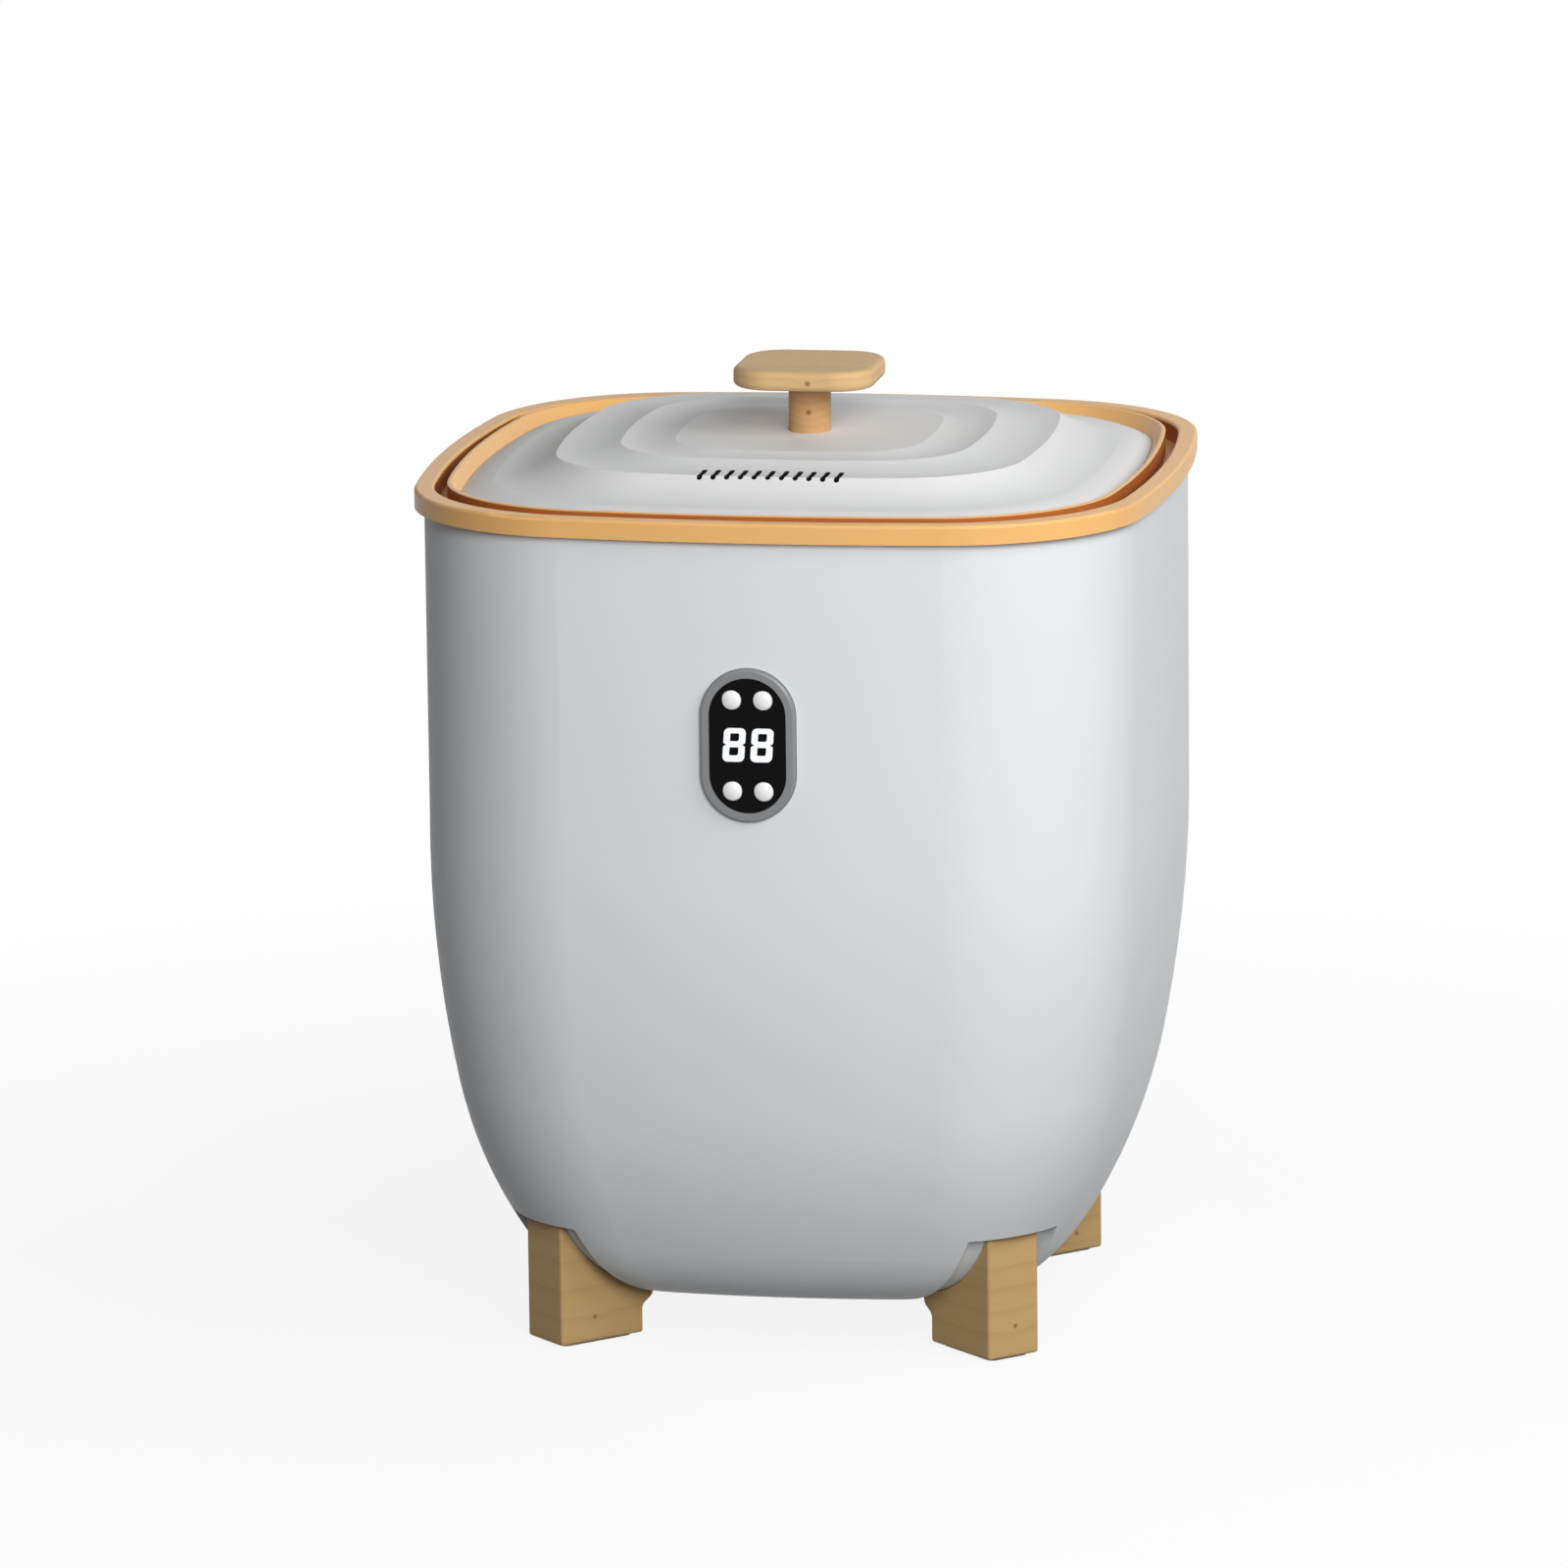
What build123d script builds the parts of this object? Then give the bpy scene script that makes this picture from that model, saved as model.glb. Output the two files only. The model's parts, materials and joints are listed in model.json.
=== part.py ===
from build123d import *
from math import cos, pi, radians, sin, sqrt
import os

# Towel warmer bucket: a rounded-square moulded bucket on four wooden legs, with a heated metal
# well, a lid that lifts off by a wooden knob, and a display panel with four push buttons.
# Millimetres. +Z is up from the floor, the panel faces -Y, and the middle of the bucket is x = y = 0.
# A half is half the width of a level, from the middle to the middle of a side.

# ---------------------------------------------------------------- driving sizes
# Plan of the bucket at the rim ring; every other level has the same plan, scaled to its width.
ring_half = 155.0
side_radius = 699.0
corner_radius = 79.4

# Clearances
fit = 0.2
seat_gap = 0.3
running_gap = 0.4
bore_gap = 0.1

# Body
base_height = 19.0
body_height = 330.0
curve_height = 200.0
curve_inset = 72.2
curve_power = 2.2
curve_steps = 6
shell_wall = 2.4

# Rim ring
ring_overhang = 3.8
ring_height = 8.0
ring_top_width = 7.8
ring_edge_radius = 1.3
groove_depth = 3.0
gutter_depth = 9.0
gutter_width = 5.0
ring_floor = 2.4
ring_floor_width = 15.2
ring_lip = 2.0
ring_lip_drop = 3.0

# Inner bucket, heater and insulation
bucket_wall = 1.2
bucket_depth = 268.0
bucket_taper = 6.6
bucket_corner = 30.0
bucket_steps = 4
flange_width = 10.4
film_thickness = 0.8
film_bottom = 34.0
film_height = 150.0
wrap_thickness = 5.0
wrap_bottom = 32.0
wrap_height = 226.0

# Bracket, thermostat, fuse and probe under the well
bracket_width = 64.0
bracket_depth = 30.0
bracket_thickness = 1.0
bracket_corner = 1.4
thermostat_flange = 8.4
thermostat_body = 7.6
thermostat_cap = 4.4
thermostat_height = 11.0
thermostat_x = -16.0
blade_width = 6.3
blade_thickness = 0.8
blade_length = 8.0
blade_spacing = 8.0
fuse_radius = 2.2
fuse_length = 14.0
fuse_x = 10.0
fuse_lead = 0.5
fuse_lead_length = 6.0
strap_width = 6.0
strap_thickness = 0.8
strap_foot = 3.0
probe_radius = 2.5
probe_length = 12.0
probe_x = 28.5
probe_tip = 1.25

# Base opening and cover; the insets run inwards from the edge of the base to the opening, and from
# the opening's edge to the screws and to the middle of each row of air slots
opening_inset = 7.0
base_ledge = 8.0
ledge_thickness = 2.6
base_plate = 2.2
base_screw_inset = 4.0
base_screw_count = 4
air_slot_length = 46.0
air_slot_width = 3.0
air_slot_pitch = 8.0
air_slot_count = 5
air_slot_inset = 30.0

# Power board on the base cover
power_board_width = 84.0
power_board_depth = 62.0
standoff_height = 6.8
standoff_reach_x = 37.0
standoff_reach_y = 26.0
transformer_width = 26.0
transformer_depth = 22.0
transformer_height = 17.0
transformer_x = -18.0
transformer_y = 6.0
relay_width = 19.0
relay_depth = 15.0
relay_x = 14.0
relay_y = 12.0
terminal_width = 30.0
terminal_depth = 8.0
terminal_height = 10.0
terminal_y = -20.0
capacitor_radius = 5.0
capacitor_height = 14.0
capacitor_x = 30.0
capacitor_y = 12.0

# Legs, their seats and their pads; an overhang runs outwards from the edge of the base
leg_overhang = 59.8
leg_length = 40.1
leg_width = 25.3
leg_flare = 5.6
leg_flare_height = 8.2
leg_edge = 1.4
pad_thickness = 1.0
pad_inset = 3.0
seat_depth = 2.4
seat_margin = 10.0
seat_top = 53.0
seat_overhang = 11.0
leg_angles = {"front_left": 225, "front_right": 315, "back_left": 135, "back_right": 45}

# Screws
small_shank = 1.4
small_head = 2.7
small_head_height = 1.8
leg_shank = 1.9
leg_head = 3.6
leg_head_height = 2.4
leg_screw_spacing = 13.0
leg_screw_overhang = 41.0
leg_screw_level = 40.0
leg_screw_length = 27.0
boss_wall = 2.6

# Control panel
panel_height = 265.9
panel_width = 38.9
panel_length = 62.8
bezel_rim = 3.85
bezel_proud = 2.5
bezel_edge = 1.1
bezel_shoulder = 1.2
bezel_flange = 4.6
bezel_flange_thickness = 1.7
bezel_flange_clear = 0.9
bezel_post_wall = 1.3
lens_recess = 0.7
lens_thickness = 1.6
button_radius = 3.85
button_dome = 1.2
button_edge = 0.2
button_flange = 0.65
button_flange_thickness = 0.8
button_stem = 1.6
button_stem_length = 0.3
button_travel = 0.6
button_column = 6.4
button_row = 18.7
plunger_radius = 1.7
plunger_height = 0.8
switch_size = 6.0
switch_height = 3.5
board_thickness = 1.6
board_width = 32.0
board_length = 70.0
board_screw_reach = 31.0
display_width = 22.0
display_length = 16.0

# Cord bush in the back, and the cup that holds it inside the shell
cup_radius = 10.5
cup_wall = 2.4
cup_flange_width = 4.0
cup_flange_thickness = 2.0
bush_height = 62.0
bush_radius = 6.0
bush_flange = 9.0
bush_flange_thickness = 2.4
bush_flange_edge = 0.8
bush_bore = 3.4
bush_length = 10.0
bush_overhang = 34.0

# Lid frame
frame_rise = 1.0
frame_crest = 1.6
frame_slope = 4.0
frame_dish = 5.1
frame_ledge = 2.2
frame_ledge_width = 9.6
frame_edge_radius = 0.5

# Lid cover: four crests from the edge inwards, each with its inset from the cover's edge, then a
# plateau; rises are above the frame's underside, and each dip is the depth of the hollow outside its
# crest, which swells instead below zero
cover_edge = 2.4
outer_crest_inset = 12.4
outer_crest_rise = 9.0
outer_dip = -0.6
second_crest_inset = 36.8
second_crest_rise = 18.0
second_dip = 2.0
third_crest_inset = 62.1
third_crest_rise = 20.6
third_dip = 1.4
inner_crest_inset = 83.6
inner_crest_rise = 20.4
inner_dip = 1.2
plateau_half = 12.0
plateau_rise = 19.9
plateau_dip = 0.2

# Underside of the lid cover: how far it lies below the crests above it
cover_wall = 2.2
under_edge_width = 17.6
under_second_drop = 6.6
under_third_drop = 4.4
under_inner_drop = 3.5
under_plateau_drop = 3.1

# Round rib under the knob, which stands on the liner
rib_radius = 15.8
rib_wall = 1.8

# Steam vents, inside the second crest
vent_count = 11
vent_pitch = 5.64
vent_width = 2.0
vent_length = 15.0
vent_inset = 6.2

# Lid liner, seal and the screws that hold the liner to posts under the cover's third crest
liner_wall = 1.5
liner_depth = 6.8
liner_gap = 2.6
liner_corner = 3.0
seal_height = 3.0
seal_drop = 0.7
post_inset = 4.5
post_hole_rise = 6.6
lid_screw_rise = 4.4

# Knob, with the screw that holds it from under the cover
knob_width = 59.2
knob_depth = 57.0
knob_thickness = 8.5
knob_corner = 17.0
knob_edge = 2.6
stem_radius = 8.8
stem_height = 20.6
knob_shank = 2.4
knob_screw_head = 4.3
knob_screw_head_height = 3.0
knob_screw_grip = 5.6
washer_radius = 9.0
washer_thickness = 1.2

# ---------------------------------------------------------------- levels and widths worked out
rim_z = base_height + body_height
turn_z = base_height + curve_height
shell_top = rim_z + groove_depth
shell_half = ring_half - ring_overhang
shell_inner = shell_half - shell_wall
base_half = shell_half - curve_inset
ring_top = rim_z + ring_height
gutter_half = ring_half - ring_top_width
gutter_z = ring_top - gutter_depth
ring_under = gutter_z - ring_floor
well_half = gutter_half - ring_floor_width

bucket_half = well_half + ring_lip + running_gap + bucket_wall
bucket_floor = ring_under - bucket_depth
bucket_base_half = bucket_half - bucket_taper
flange_z = ring_under - bucket_wall
wrap_gap = 2 * fit + film_thickness
bracket_z = bucket_floor - bracket_thickness
fuse_z = bracket_z - fuse_radius - bore_gap
strap_inner = fuse_radius + bore_gap
strap_outer = strap_inner + strap_thickness

base_opening = base_half - opening_inset
base_screw_reach = base_opening - base_screw_inset
air_slot_row = base_opening - air_slot_inset
plate_top = base_height + base_plate
ledge_top = plate_top + fit + ledge_thickness
board_z = plate_top + standoff_height
board_top = board_z + board_thickness
leg_outer = base_half + leg_overhang
leg_inner = leg_outer - leg_length
leg_screw_reach = base_half + leg_screw_overhang
seat_inner = base_half + seat_overhang
leg_screw_foot = leg_screw_level - leg_screw_length
seat_width = leg_width + 2 * seat_margin
pad_length = leg_length - 2 * pad_inset
pad_width = leg_width - 2 * pad_inset

bezel_face = shell_half + bezel_proud
lens_face = bezel_face - lens_recess
lens_back = lens_face - lens_thickness
lens_change = -2 * bezel_rim
button_face = lens_back - seat_gap
button_rear = button_face - button_flange_thickness
button_back = button_rear - button_stem_length
plunger_face = button_back - button_travel - bore_gap
switch_face = plunger_face - plunger_height
board_front = switch_face - switch_height
board_back = board_front - board_thickness
flange_front = shell_inner - bezel_flange_clear
flange_back = flange_front - bezel_flange_thickness
cup_outer = cup_radius + cup_wall
bush_face = base_half + bush_overhang
cup_floor = bush_face - cup_wall
bush_end = bush_face + bush_flange_thickness
bush_back = bush_end - bush_length

frame_half = gutter_half - gutter_width
frame_bottom = gutter_z + seat_gap
frame_top = ring_top + frame_rise
slope_foot = frame_top - frame_dish
slope_half = frame_half - frame_crest
cover_z = frame_bottom + frame_ledge
cover_half = slope_half - frame_slope
outer_crest = (cover_half - outer_crest_inset, frame_bottom + outer_crest_rise)
second_crest = (cover_half - second_crest_inset, frame_bottom + second_crest_rise)
third_crest = (cover_half - third_crest_inset, frame_bottom + third_crest_rise)
inner_crest = (cover_half - inner_crest_inset, frame_bottom + inner_crest_rise)
vent_middle = second_crest[0] - vent_inset
post_reach = third_crest[0] - post_inset
stem_z = frame_bottom + plateau_rise
under_z = stem_z - under_plateau_drop
knob_z = stem_z + stem_height
washer_z = under_z - washer_thickness
liner_half = well_half - liner_gap
liner_z = frame_bottom - liner_depth
tray_z = liner_z + liner_wall
post_z = tray_z + fit
seal_top = frame_bottom - seal_drop

# ---------------------------------------------------------------- shared forms
with BuildSketch() as plan:
    with Locations((ring_half - side_radius, 0)):
        Circle(side_radius)
    for middle in ((side_radius - ring_half, 0), (0, ring_half - side_radius), (0, side_radius - ring_half)):
        with Locations(middle):
            Circle(side_radius, mode=Mode.INTERSECT)
    fillet(plan.vertices(), corner_radius)


def outline(half):
    """The plan with its sides at +/-half."""
    return plan.sketch.scale(half / ring_half)


def creased(runs):
    """Solid whose side follows each run of (half, height) outlines, with a crease between runs."""
    faces = []
    for run in runs:
        rings = [Pos(0, 0, height) * outline(half).face().outer_wire() for half, height in run]
        faces += Shell.make_loft(rings, ruled=len(run) == 2).faces()
    for half, height in (runs[0][0], runs[-1][-1]):
        faces.append(Face(Pos(0, 0, height) * outline(half).face().outer_wire()))
    return Solid(Shell(faces))


def in_threes(points):
    """Runs of three outlines each, end to end, through an odd count of points."""
    return [points[first : first + 3] for first in range(0, len(points) - 1, 2)]


def ring_prism(outer, inner, low, high):
    """Band between two outlines, from low to high."""
    with BuildPart() as band:
        with BuildSketch(Plane.XY.offset(low)):
            add(outline(outer))
            add(outline(inner), mode=Mode.SUBTRACT)
        extrude(amount=high - low)
    return band.part


def prism(half, low, high):
    """Upright block with the bucket's plan, from low to high."""
    with BuildPart() as block:
        with BuildSketch(Plane.XY.offset(low)):
            add(outline(half))
        extrude(amount=high - low)
    return block.part


def body_form(grow, top):
    """The bucket's outer form, grown by grow on its side and underside, up to top."""
    curve = []
    for step in range(curve_steps + 1):
        turn = pi / 2 * step / curve_steps
        half = base_half + grow + curve_inset * cos(turn) ** (2 / curve_power)
        curve.append((half, turn_z - (curve_height + grow) * sin(turn) ** (2 / curve_power)))
    return creased([[(shell_half + grow, top), curve[0]]] + in_threes(curve))


def bucket_solid(shrink):
    """The drawn well as a solid up to its flange, shrunk by shrink on its side and floor."""
    curve = []
    radius = bucket_corner - shrink
    for step in range(bucket_steps + 1):
        turn = pi / 2 * step / bucket_steps
        half = bucket_base_half - bucket_corner + radius * cos(turn)
        curve.append((half, bucket_floor + bucket_corner - radius * sin(turn)))
    return creased([[(bucket_half - shrink, ring_under), curve[0]]] + in_threes(curve))


def bucket_side(grow, low, high):
    """The well's tapered side grown by grow, as a solid between two heights above its floor."""

    def side(height):
        return bucket_base_half + bucket_taper * height / bucket_depth + grow

    return creased([[(side(low), bucket_floor + low), (side(high), bucket_floor + high)]])


def radial_plane(angle):
    """Upright plane through the middle: x runs outwards at angle, y runs up."""
    out = (cos(radians(angle)), sin(radians(angle)), 0)
    return Plane(origin=(0, 0, 0), x_dir=out, z_dir=(out[1], -out[0], 0))


def on_radius(angle, reach, across=0.0):
    """Point at reach from the middle at angle, moved across the radius."""
    turn = radians(angle)
    return (reach * cos(turn) - across * sin(turn), reach * sin(turn) + across * cos(turn))


def corner_block(angle, width, inner, top, core):
    """Upright slab at a corner, from inner outwards and from the floor to top, less the core."""
    with BuildPart() as block:
        with BuildSketch(radial_plane(angle)):
            with Locations((inner, 0)):
                Rectangle(ring_half, top, align=(Align.MIN, Align.MIN))
        extrude(amount=width / 2, both=True)
        add(core, mode=Mode.SUBTRACT)
    return block.part


def upright(radius, low, high, mode=Mode.ADD):
    """Upright cylinder between two levels, at the current location."""
    with Locations((0, 0, low)):
        Cylinder(radius, high - low, align=(Align.CENTER, Align.CENTER, Align.MIN), mode=mode)


def rods(places, radius, front, back):
    """Cylinder along Y at each (x, z) place, front and back being measured towards the panel."""
    with BuildPart() as bundle:
        with BuildSketch(Plane.XZ.offset(back)):
            with Locations(*places):
                Circle(radius)
        extrude(amount=front - back)
    return bundle.part


def panel_slot(change, front, back):
    """Upright stadium of the panel's shape with change added to its width and length."""
    with BuildPart() as slot:
        with BuildSketch(Plane.XZ.offset(back)):
            with Locations((0, panel_height)):
                SlotOverall(panel_length + change, panel_width + change, rotation=90)
        extrude(amount=front - back)
    return slot.part


def leg_screw_points():
    """Plan positions of the two screws of each leg."""
    points = []
    for angle in leg_angles.values():
        for across in (-leg_screw_spacing / 2, leg_screw_spacing / 2):
            points.append(on_radius(angle, leg_screw_reach, across))
    return points


bush_place = [(0, bush_height)]
board_screw_places = [(0, panel_height - board_screw_reach), (0, panel_height + board_screw_reach)]
standoffs = []
for x in (-standoff_reach_x, standoff_reach_x):
    standoffs += [(x, -standoff_reach_y), (x, standoff_reach_y)]
post_points = [(x, y) for x in (-post_reach, post_reach) for y in (-post_reach, post_reach)]

# ---------------------------------------------------------------- outer shell
# The room inside the shell: its walls stand off the body form, the leg seats, the leg screws'
# bosses and the ledge round the base opening. The cord bush's cup passes through the back wall.
seat_floor = body_form(-seat_depth, rim_z)
seat_back = body_form(-seat_depth - shell_wall, rim_z)
wall_width = seat_width + 2 * shell_wall

with BuildPart() as cavity:
    add(body_form(-shell_wall, shell_top))
    for angle in leg_angles.values():
        seat_wall = corner_block(angle, wall_width, seat_inner - shell_wall, seat_top + shell_wall, seat_back)
        add(seat_wall, mode=Mode.SUBTRACT)
    for point in leg_screw_points():
        with Locations(point):
            upright(leg_shank + boss_wall, 0, leg_screw_level, mode=Mode.SUBTRACT)
    add(ring_prism(base_opening + base_ledge, base_opening - base_ledge, 0, ledge_top), mode=Mode.SUBTRACT)

with BuildPart() as outer_shell:
    add(body_form(0, shell_top))
    for angle in leg_angles.values():
        add(corner_block(angle, seat_width, seat_inner, seat_top, seat_floor), mode=Mode.SUBTRACT)
    add(cavity.part, mode=Mode.SUBTRACT)
    add(prism(base_opening, base_height, plate_top + fit), mode=Mode.SUBTRACT)
    add(prism(base_opening - base_ledge, base_height, ledge_top), mode=Mode.SUBTRACT)
    add(panel_slot(2 * fit, bezel_face, flange_front), mode=Mode.SUBTRACT)
    add(rods(bush_place, cup_outer + seat_gap, -bush_end, -ring_half), mode=Mode.SUBTRACT)
    for point in leg_screw_points():
        with Locations(point):
            upright(leg_shank + bore_gap, 0, leg_screw_level, mode=Mode.SUBTRACT)
    with PolarLocations(base_screw_reach, base_screw_count):
        upright(small_shank + bore_gap, base_height, ledge_top, mode=Mode.SUBTRACT)
outer_shell.part.label = "outer_shell"

# ---------------------------------------------------------------- rim ring
with BuildPart() as rim_ring:
    add(ring_prism(ring_half, gutter_half, rim_z, ring_top))
    fillet(rim_ring.edges().group_by(Axis.Z)[-1], ring_edge_radius)
    add(ring_prism(shell_inner - fit, gutter_half, ring_under, rim_z))
    add(ring_prism(shell_inner - fit, well_half, ring_under, gutter_z))
    add(ring_prism(well_half + ring_lip, well_half, ring_under - ring_lip_drop, ring_under))
    add(ring_prism(shell_half + fit, shell_inner - fit, rim_z, shell_top + fit), mode=Mode.SUBTRACT)
rim_ring.part.label = "rim_ring"

# ---------------------------------------------------------------- inner bucket, heater and insulation
with BuildPart() as inner_bucket:
    add(bucket_solid(0))
    add(ring_prism(bucket_half + flange_width, bucket_half - bucket_wall, flange_z, ring_under))
    add(bucket_solid(bucket_wall), mode=Mode.SUBTRACT)
inner_bucket.part.label = "inner_bucket"

with BuildPart() as heater_film:
    add(bucket_side(fit + film_thickness, film_bottom, film_bottom + film_height))
    add(bucket_side(fit, film_bottom, film_bottom + film_height), mode=Mode.SUBTRACT)
heater_film.part.label = "heater_film"

with BuildPart() as insulation_wrap:
    add(bucket_side(wrap_gap + wrap_thickness, wrap_bottom, wrap_bottom + wrap_height))
    add(bucket_side(wrap_gap, wrap_bottom, wrap_bottom + wrap_height), mode=Mode.SUBTRACT)
insulation_wrap.part.label = "insulation_wrap"

# ---------------------------------------------------------------- sensors under the well
# The bracket lies against the well's floor and holds the fuse in a folded strap.
with BuildPart() as sensor_bracket:
    with BuildSketch(Plane.XY.offset(bracket_z)):
        RectangleRounded(bracket_width, bracket_depth, bracket_corner)
        with Locations((thermostat_x, 0)):
            Circle(thermostat_flange + fit, mode=Mode.SUBTRACT)
    extrude(amount=bracket_thickness)
    with BuildSketch(Plane.YZ.offset(fuse_x)):
        with Locations((0, fuse_z)):
            Circle(strap_outer)
        with Locations((0, bracket_z)):
            Rectangle(2 * (strap_outer + strap_foot), strap_thickness, align=(Align.CENTER, Align.MAX))
        with Locations((0, fuse_z)):
            Circle(strap_inner, mode=Mode.SUBTRACT)
            Rectangle(2 * strap_inner, strap_outer, align=(Align.CENTER, Align.MIN), mode=Mode.SUBTRACT)
        with Locations((0, bracket_z)):
            Rectangle(2 * strap_outer, strap_outer, align=(Align.CENTER, Align.MIN), mode=Mode.SUBTRACT)
    extrude(amount=strap_width / 2, both=True)
sensor_bracket.part.label = "sensor_bracket"

with BuildPart() as thermostat:
    with Locations((thermostat_x, 0)):
        upright(thermostat_flange, bucket_floor - thermostat_cap, bucket_floor)
        upright(thermostat_body, bucket_floor - thermostat_height, bucket_floor - thermostat_cap)
    with BuildSketch(Plane.XY.offset(bucket_floor - thermostat_height)):
        with Locations((thermostat_x - blade_spacing / 2, 0), (thermostat_x + blade_spacing / 2, 0)):
            Rectangle(blade_thickness, blade_width)
    extrude(amount=-blade_length)
thermostat.part.label = "thermostat"

with BuildPart() as thermal_fuse:
    with BuildSketch(Plane.YZ.offset(fuse_x)):
        with Locations((0, fuse_z)):
            Circle(fuse_radius)
    extrude(amount=fuse_length / 2, both=True)
    with BuildSketch(Plane.YZ.offset(fuse_x)):
        with Locations((0, fuse_z)):
            Circle(fuse_lead)
    extrude(amount=fuse_length / 2 + fuse_lead_length, both=True)
thermal_fuse.part.label = "thermal_fuse"

with BuildPart() as temperature_sensor:
    with BuildSketch(Plane.XZ):
        with Locations((probe_x, bracket_z - probe_radius - bore_gap)):
            Circle(probe_radius)
    extrude(amount=probe_length / 2, both=True)
    fillet(temperature_sensor.edges().group_by(Axis.Y)[0], probe_tip)
temperature_sensor.part.label = "temperature_sensor"

# ---------------------------------------------------------------- base cover and its screws
with BuildPart() as base_cover:
    with BuildSketch(Plane.XY.offset(base_height)):
        add(outline(base_opening - running_gap))
        for row in (-air_slot_row, air_slot_row):
            with Locations((0, row)):
                with GridLocations(0, air_slot_pitch, 1, air_slot_count):
                    SlotOverall(air_slot_length, air_slot_width, mode=Mode.SUBTRACT)
    extrude(amount=base_plate)
    with Locations(*standoffs):
        upright(small_shank + boss_wall, base_height, board_z)
        upright(small_shank + bore_gap, plate_top, board_z, mode=Mode.SUBTRACT)
    with PolarLocations(base_screw_reach, base_screw_count):
        upright(small_shank + bore_gap, base_height, plate_top, mode=Mode.SUBTRACT)
base_cover.part.label = "base_cover"

with BuildPart() as base_cover_screws:
    with PolarLocations(base_screw_reach, base_screw_count):
        upright(small_head, base_height - small_head_height, base_height)
        upright(small_shank, base_height, ledge_top)
base_cover_screws.part.label = "base_cover_screws"

# ---------------------------------------------------------------- power board
with BuildPart() as power_board:
    with BuildSketch(Plane.XY.offset(board_z)):
        Rectangle(power_board_width, power_board_depth)
        with Locations(*standoffs):
            Circle(small_shank + bore_gap, mode=Mode.SUBTRACT)
    extrude(amount=board_thickness)
power_board.part.label = "power_board"

on_board = (Align.CENTER, Align.CENTER, Align.MIN)
with BuildPart() as power_components:
    with Locations((transformer_x, transformer_y, board_top)):
        Box(transformer_width, transformer_depth, transformer_height, align=on_board)
    with Locations((relay_x, relay_y, board_top)):
        Box(relay_width, relay_depth, relay_depth, align=on_board)
    with Locations((0, terminal_y, board_top)):
        Box(terminal_width, terminal_depth, terminal_height, align=on_board)
    with Locations((capacitor_x, capacitor_y)):
        upright(capacitor_radius, board_top, board_top + capacitor_height)
power_components.part.label = "power_components"

with BuildPart() as power_board_screws:
    with Locations(*standoffs):
        upright(small_head, board_top, board_top + small_head_height)
        upright(small_shank, plate_top + fit, board_top)
power_board_screws.part.label = "power_board_screws"

# ---------------------------------------------------------------- legs, their screws and pads
leg_seat = body_form(seat_gap - seat_depth, rim_z)


def build_leg(angle):
    """Radial wooden block, cut to the curve of its seat and drilled for its two screws."""
    with BuildPart() as leg:
        with BuildSketch(radial_plane(angle)):
            with BuildLine():
                flare_top = (leg_inner - leg_flare, base_height)
                flare_foot = (leg_inner, base_height - leg_flare_height)
                Polyline(
                    flare_foot,
                    (leg_inner, pad_thickness),
                    (leg_outer, pad_thickness),
                    (leg_outer, seat_top),
                    (leg_inner - leg_flare, seat_top),
                    flare_top,
                )
                Spline(flare_top, flare_foot, tangents=((0, -1), (0, -1)))
            make_face()
        extrude(amount=leg_width / 2, both=True)
        outer_corners = leg.edges().filter_by(Axis.Z).sort_by(SortBy.LENGTH)[-2:]
        fillet(leg.edges().group_by(Axis.Z)[0] + outer_corners, leg_edge)
        add(leg_seat, mode=Mode.SUBTRACT)
        for across in (-leg_screw_spacing / 2, leg_screw_spacing / 2):
            with Locations(on_radius(angle, leg_screw_reach, across)):
                upright(leg_shank + bore_gap, leg_screw_foot - fit, seat_top, mode=Mode.SUBTRACT)
    return leg.part


legs = {}
for place, angle in leg_angles.items():
    legs[place] = build_leg(angle)
    legs[place].label = "leg_" + place

with BuildPart() as leg_screws:
    with Locations(*leg_screw_points()):
        upright(leg_head, leg_screw_level, leg_screw_level + leg_head_height)
        upright(leg_shank, leg_screw_foot, leg_screw_level)
leg_screws.part.label = "leg_screws"

with BuildPart() as foot_pads:
    for angle in leg_angles.values():
        with BuildSketch(Plane.XY):
            with Locations(on_radius(angle, leg_outer - leg_length / 2)):
                RectangleRounded(pad_length, pad_width, pad_inset, rotation=angle)
    extrude(amount=pad_thickness)
foot_pads.part.label = "foot_pads"

# ---------------------------------------------------------------- control panel
with BuildPart() as panel_bezel:
    add(panel_slot(0, bezel_face, flange_front))
    fillet(panel_bezel.edges().group_by(Axis.Y)[0], bezel_edge)
    add(panel_slot(2 * bezel_flange, flange_front, flange_back))
    add(rods(board_screw_places, small_shank + bezel_post_wall, flange_back, board_front))
    add(panel_slot(lens_change + 2 * fit, bezel_face, lens_back), mode=Mode.SUBTRACT)
    add(panel_slot(lens_change - 2 * bezel_shoulder, bezel_face, board_front), mode=Mode.SUBTRACT)
    add(rods(board_screw_places, small_shank + bore_gap, flange_front, board_front), mode=Mode.SUBTRACT)
panel_bezel.part.label = "panel_bezel"

button_places = {
    "upper_left": (-button_column, panel_height + button_row),
    "upper_right": (button_column, panel_height + button_row),
    "lower_left": (-button_column, panel_height - button_row),
    "lower_right": (button_column, panel_height - button_row),
}

with BuildPart() as panel_lens:
    add(panel_slot(lens_change, lens_face, lens_back))
    add(rods(button_places.values(), button_radius + seat_gap, lens_face, lens_back), mode=Mode.SUBTRACT)
panel_lens.part.label = "panel_lens"


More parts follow.
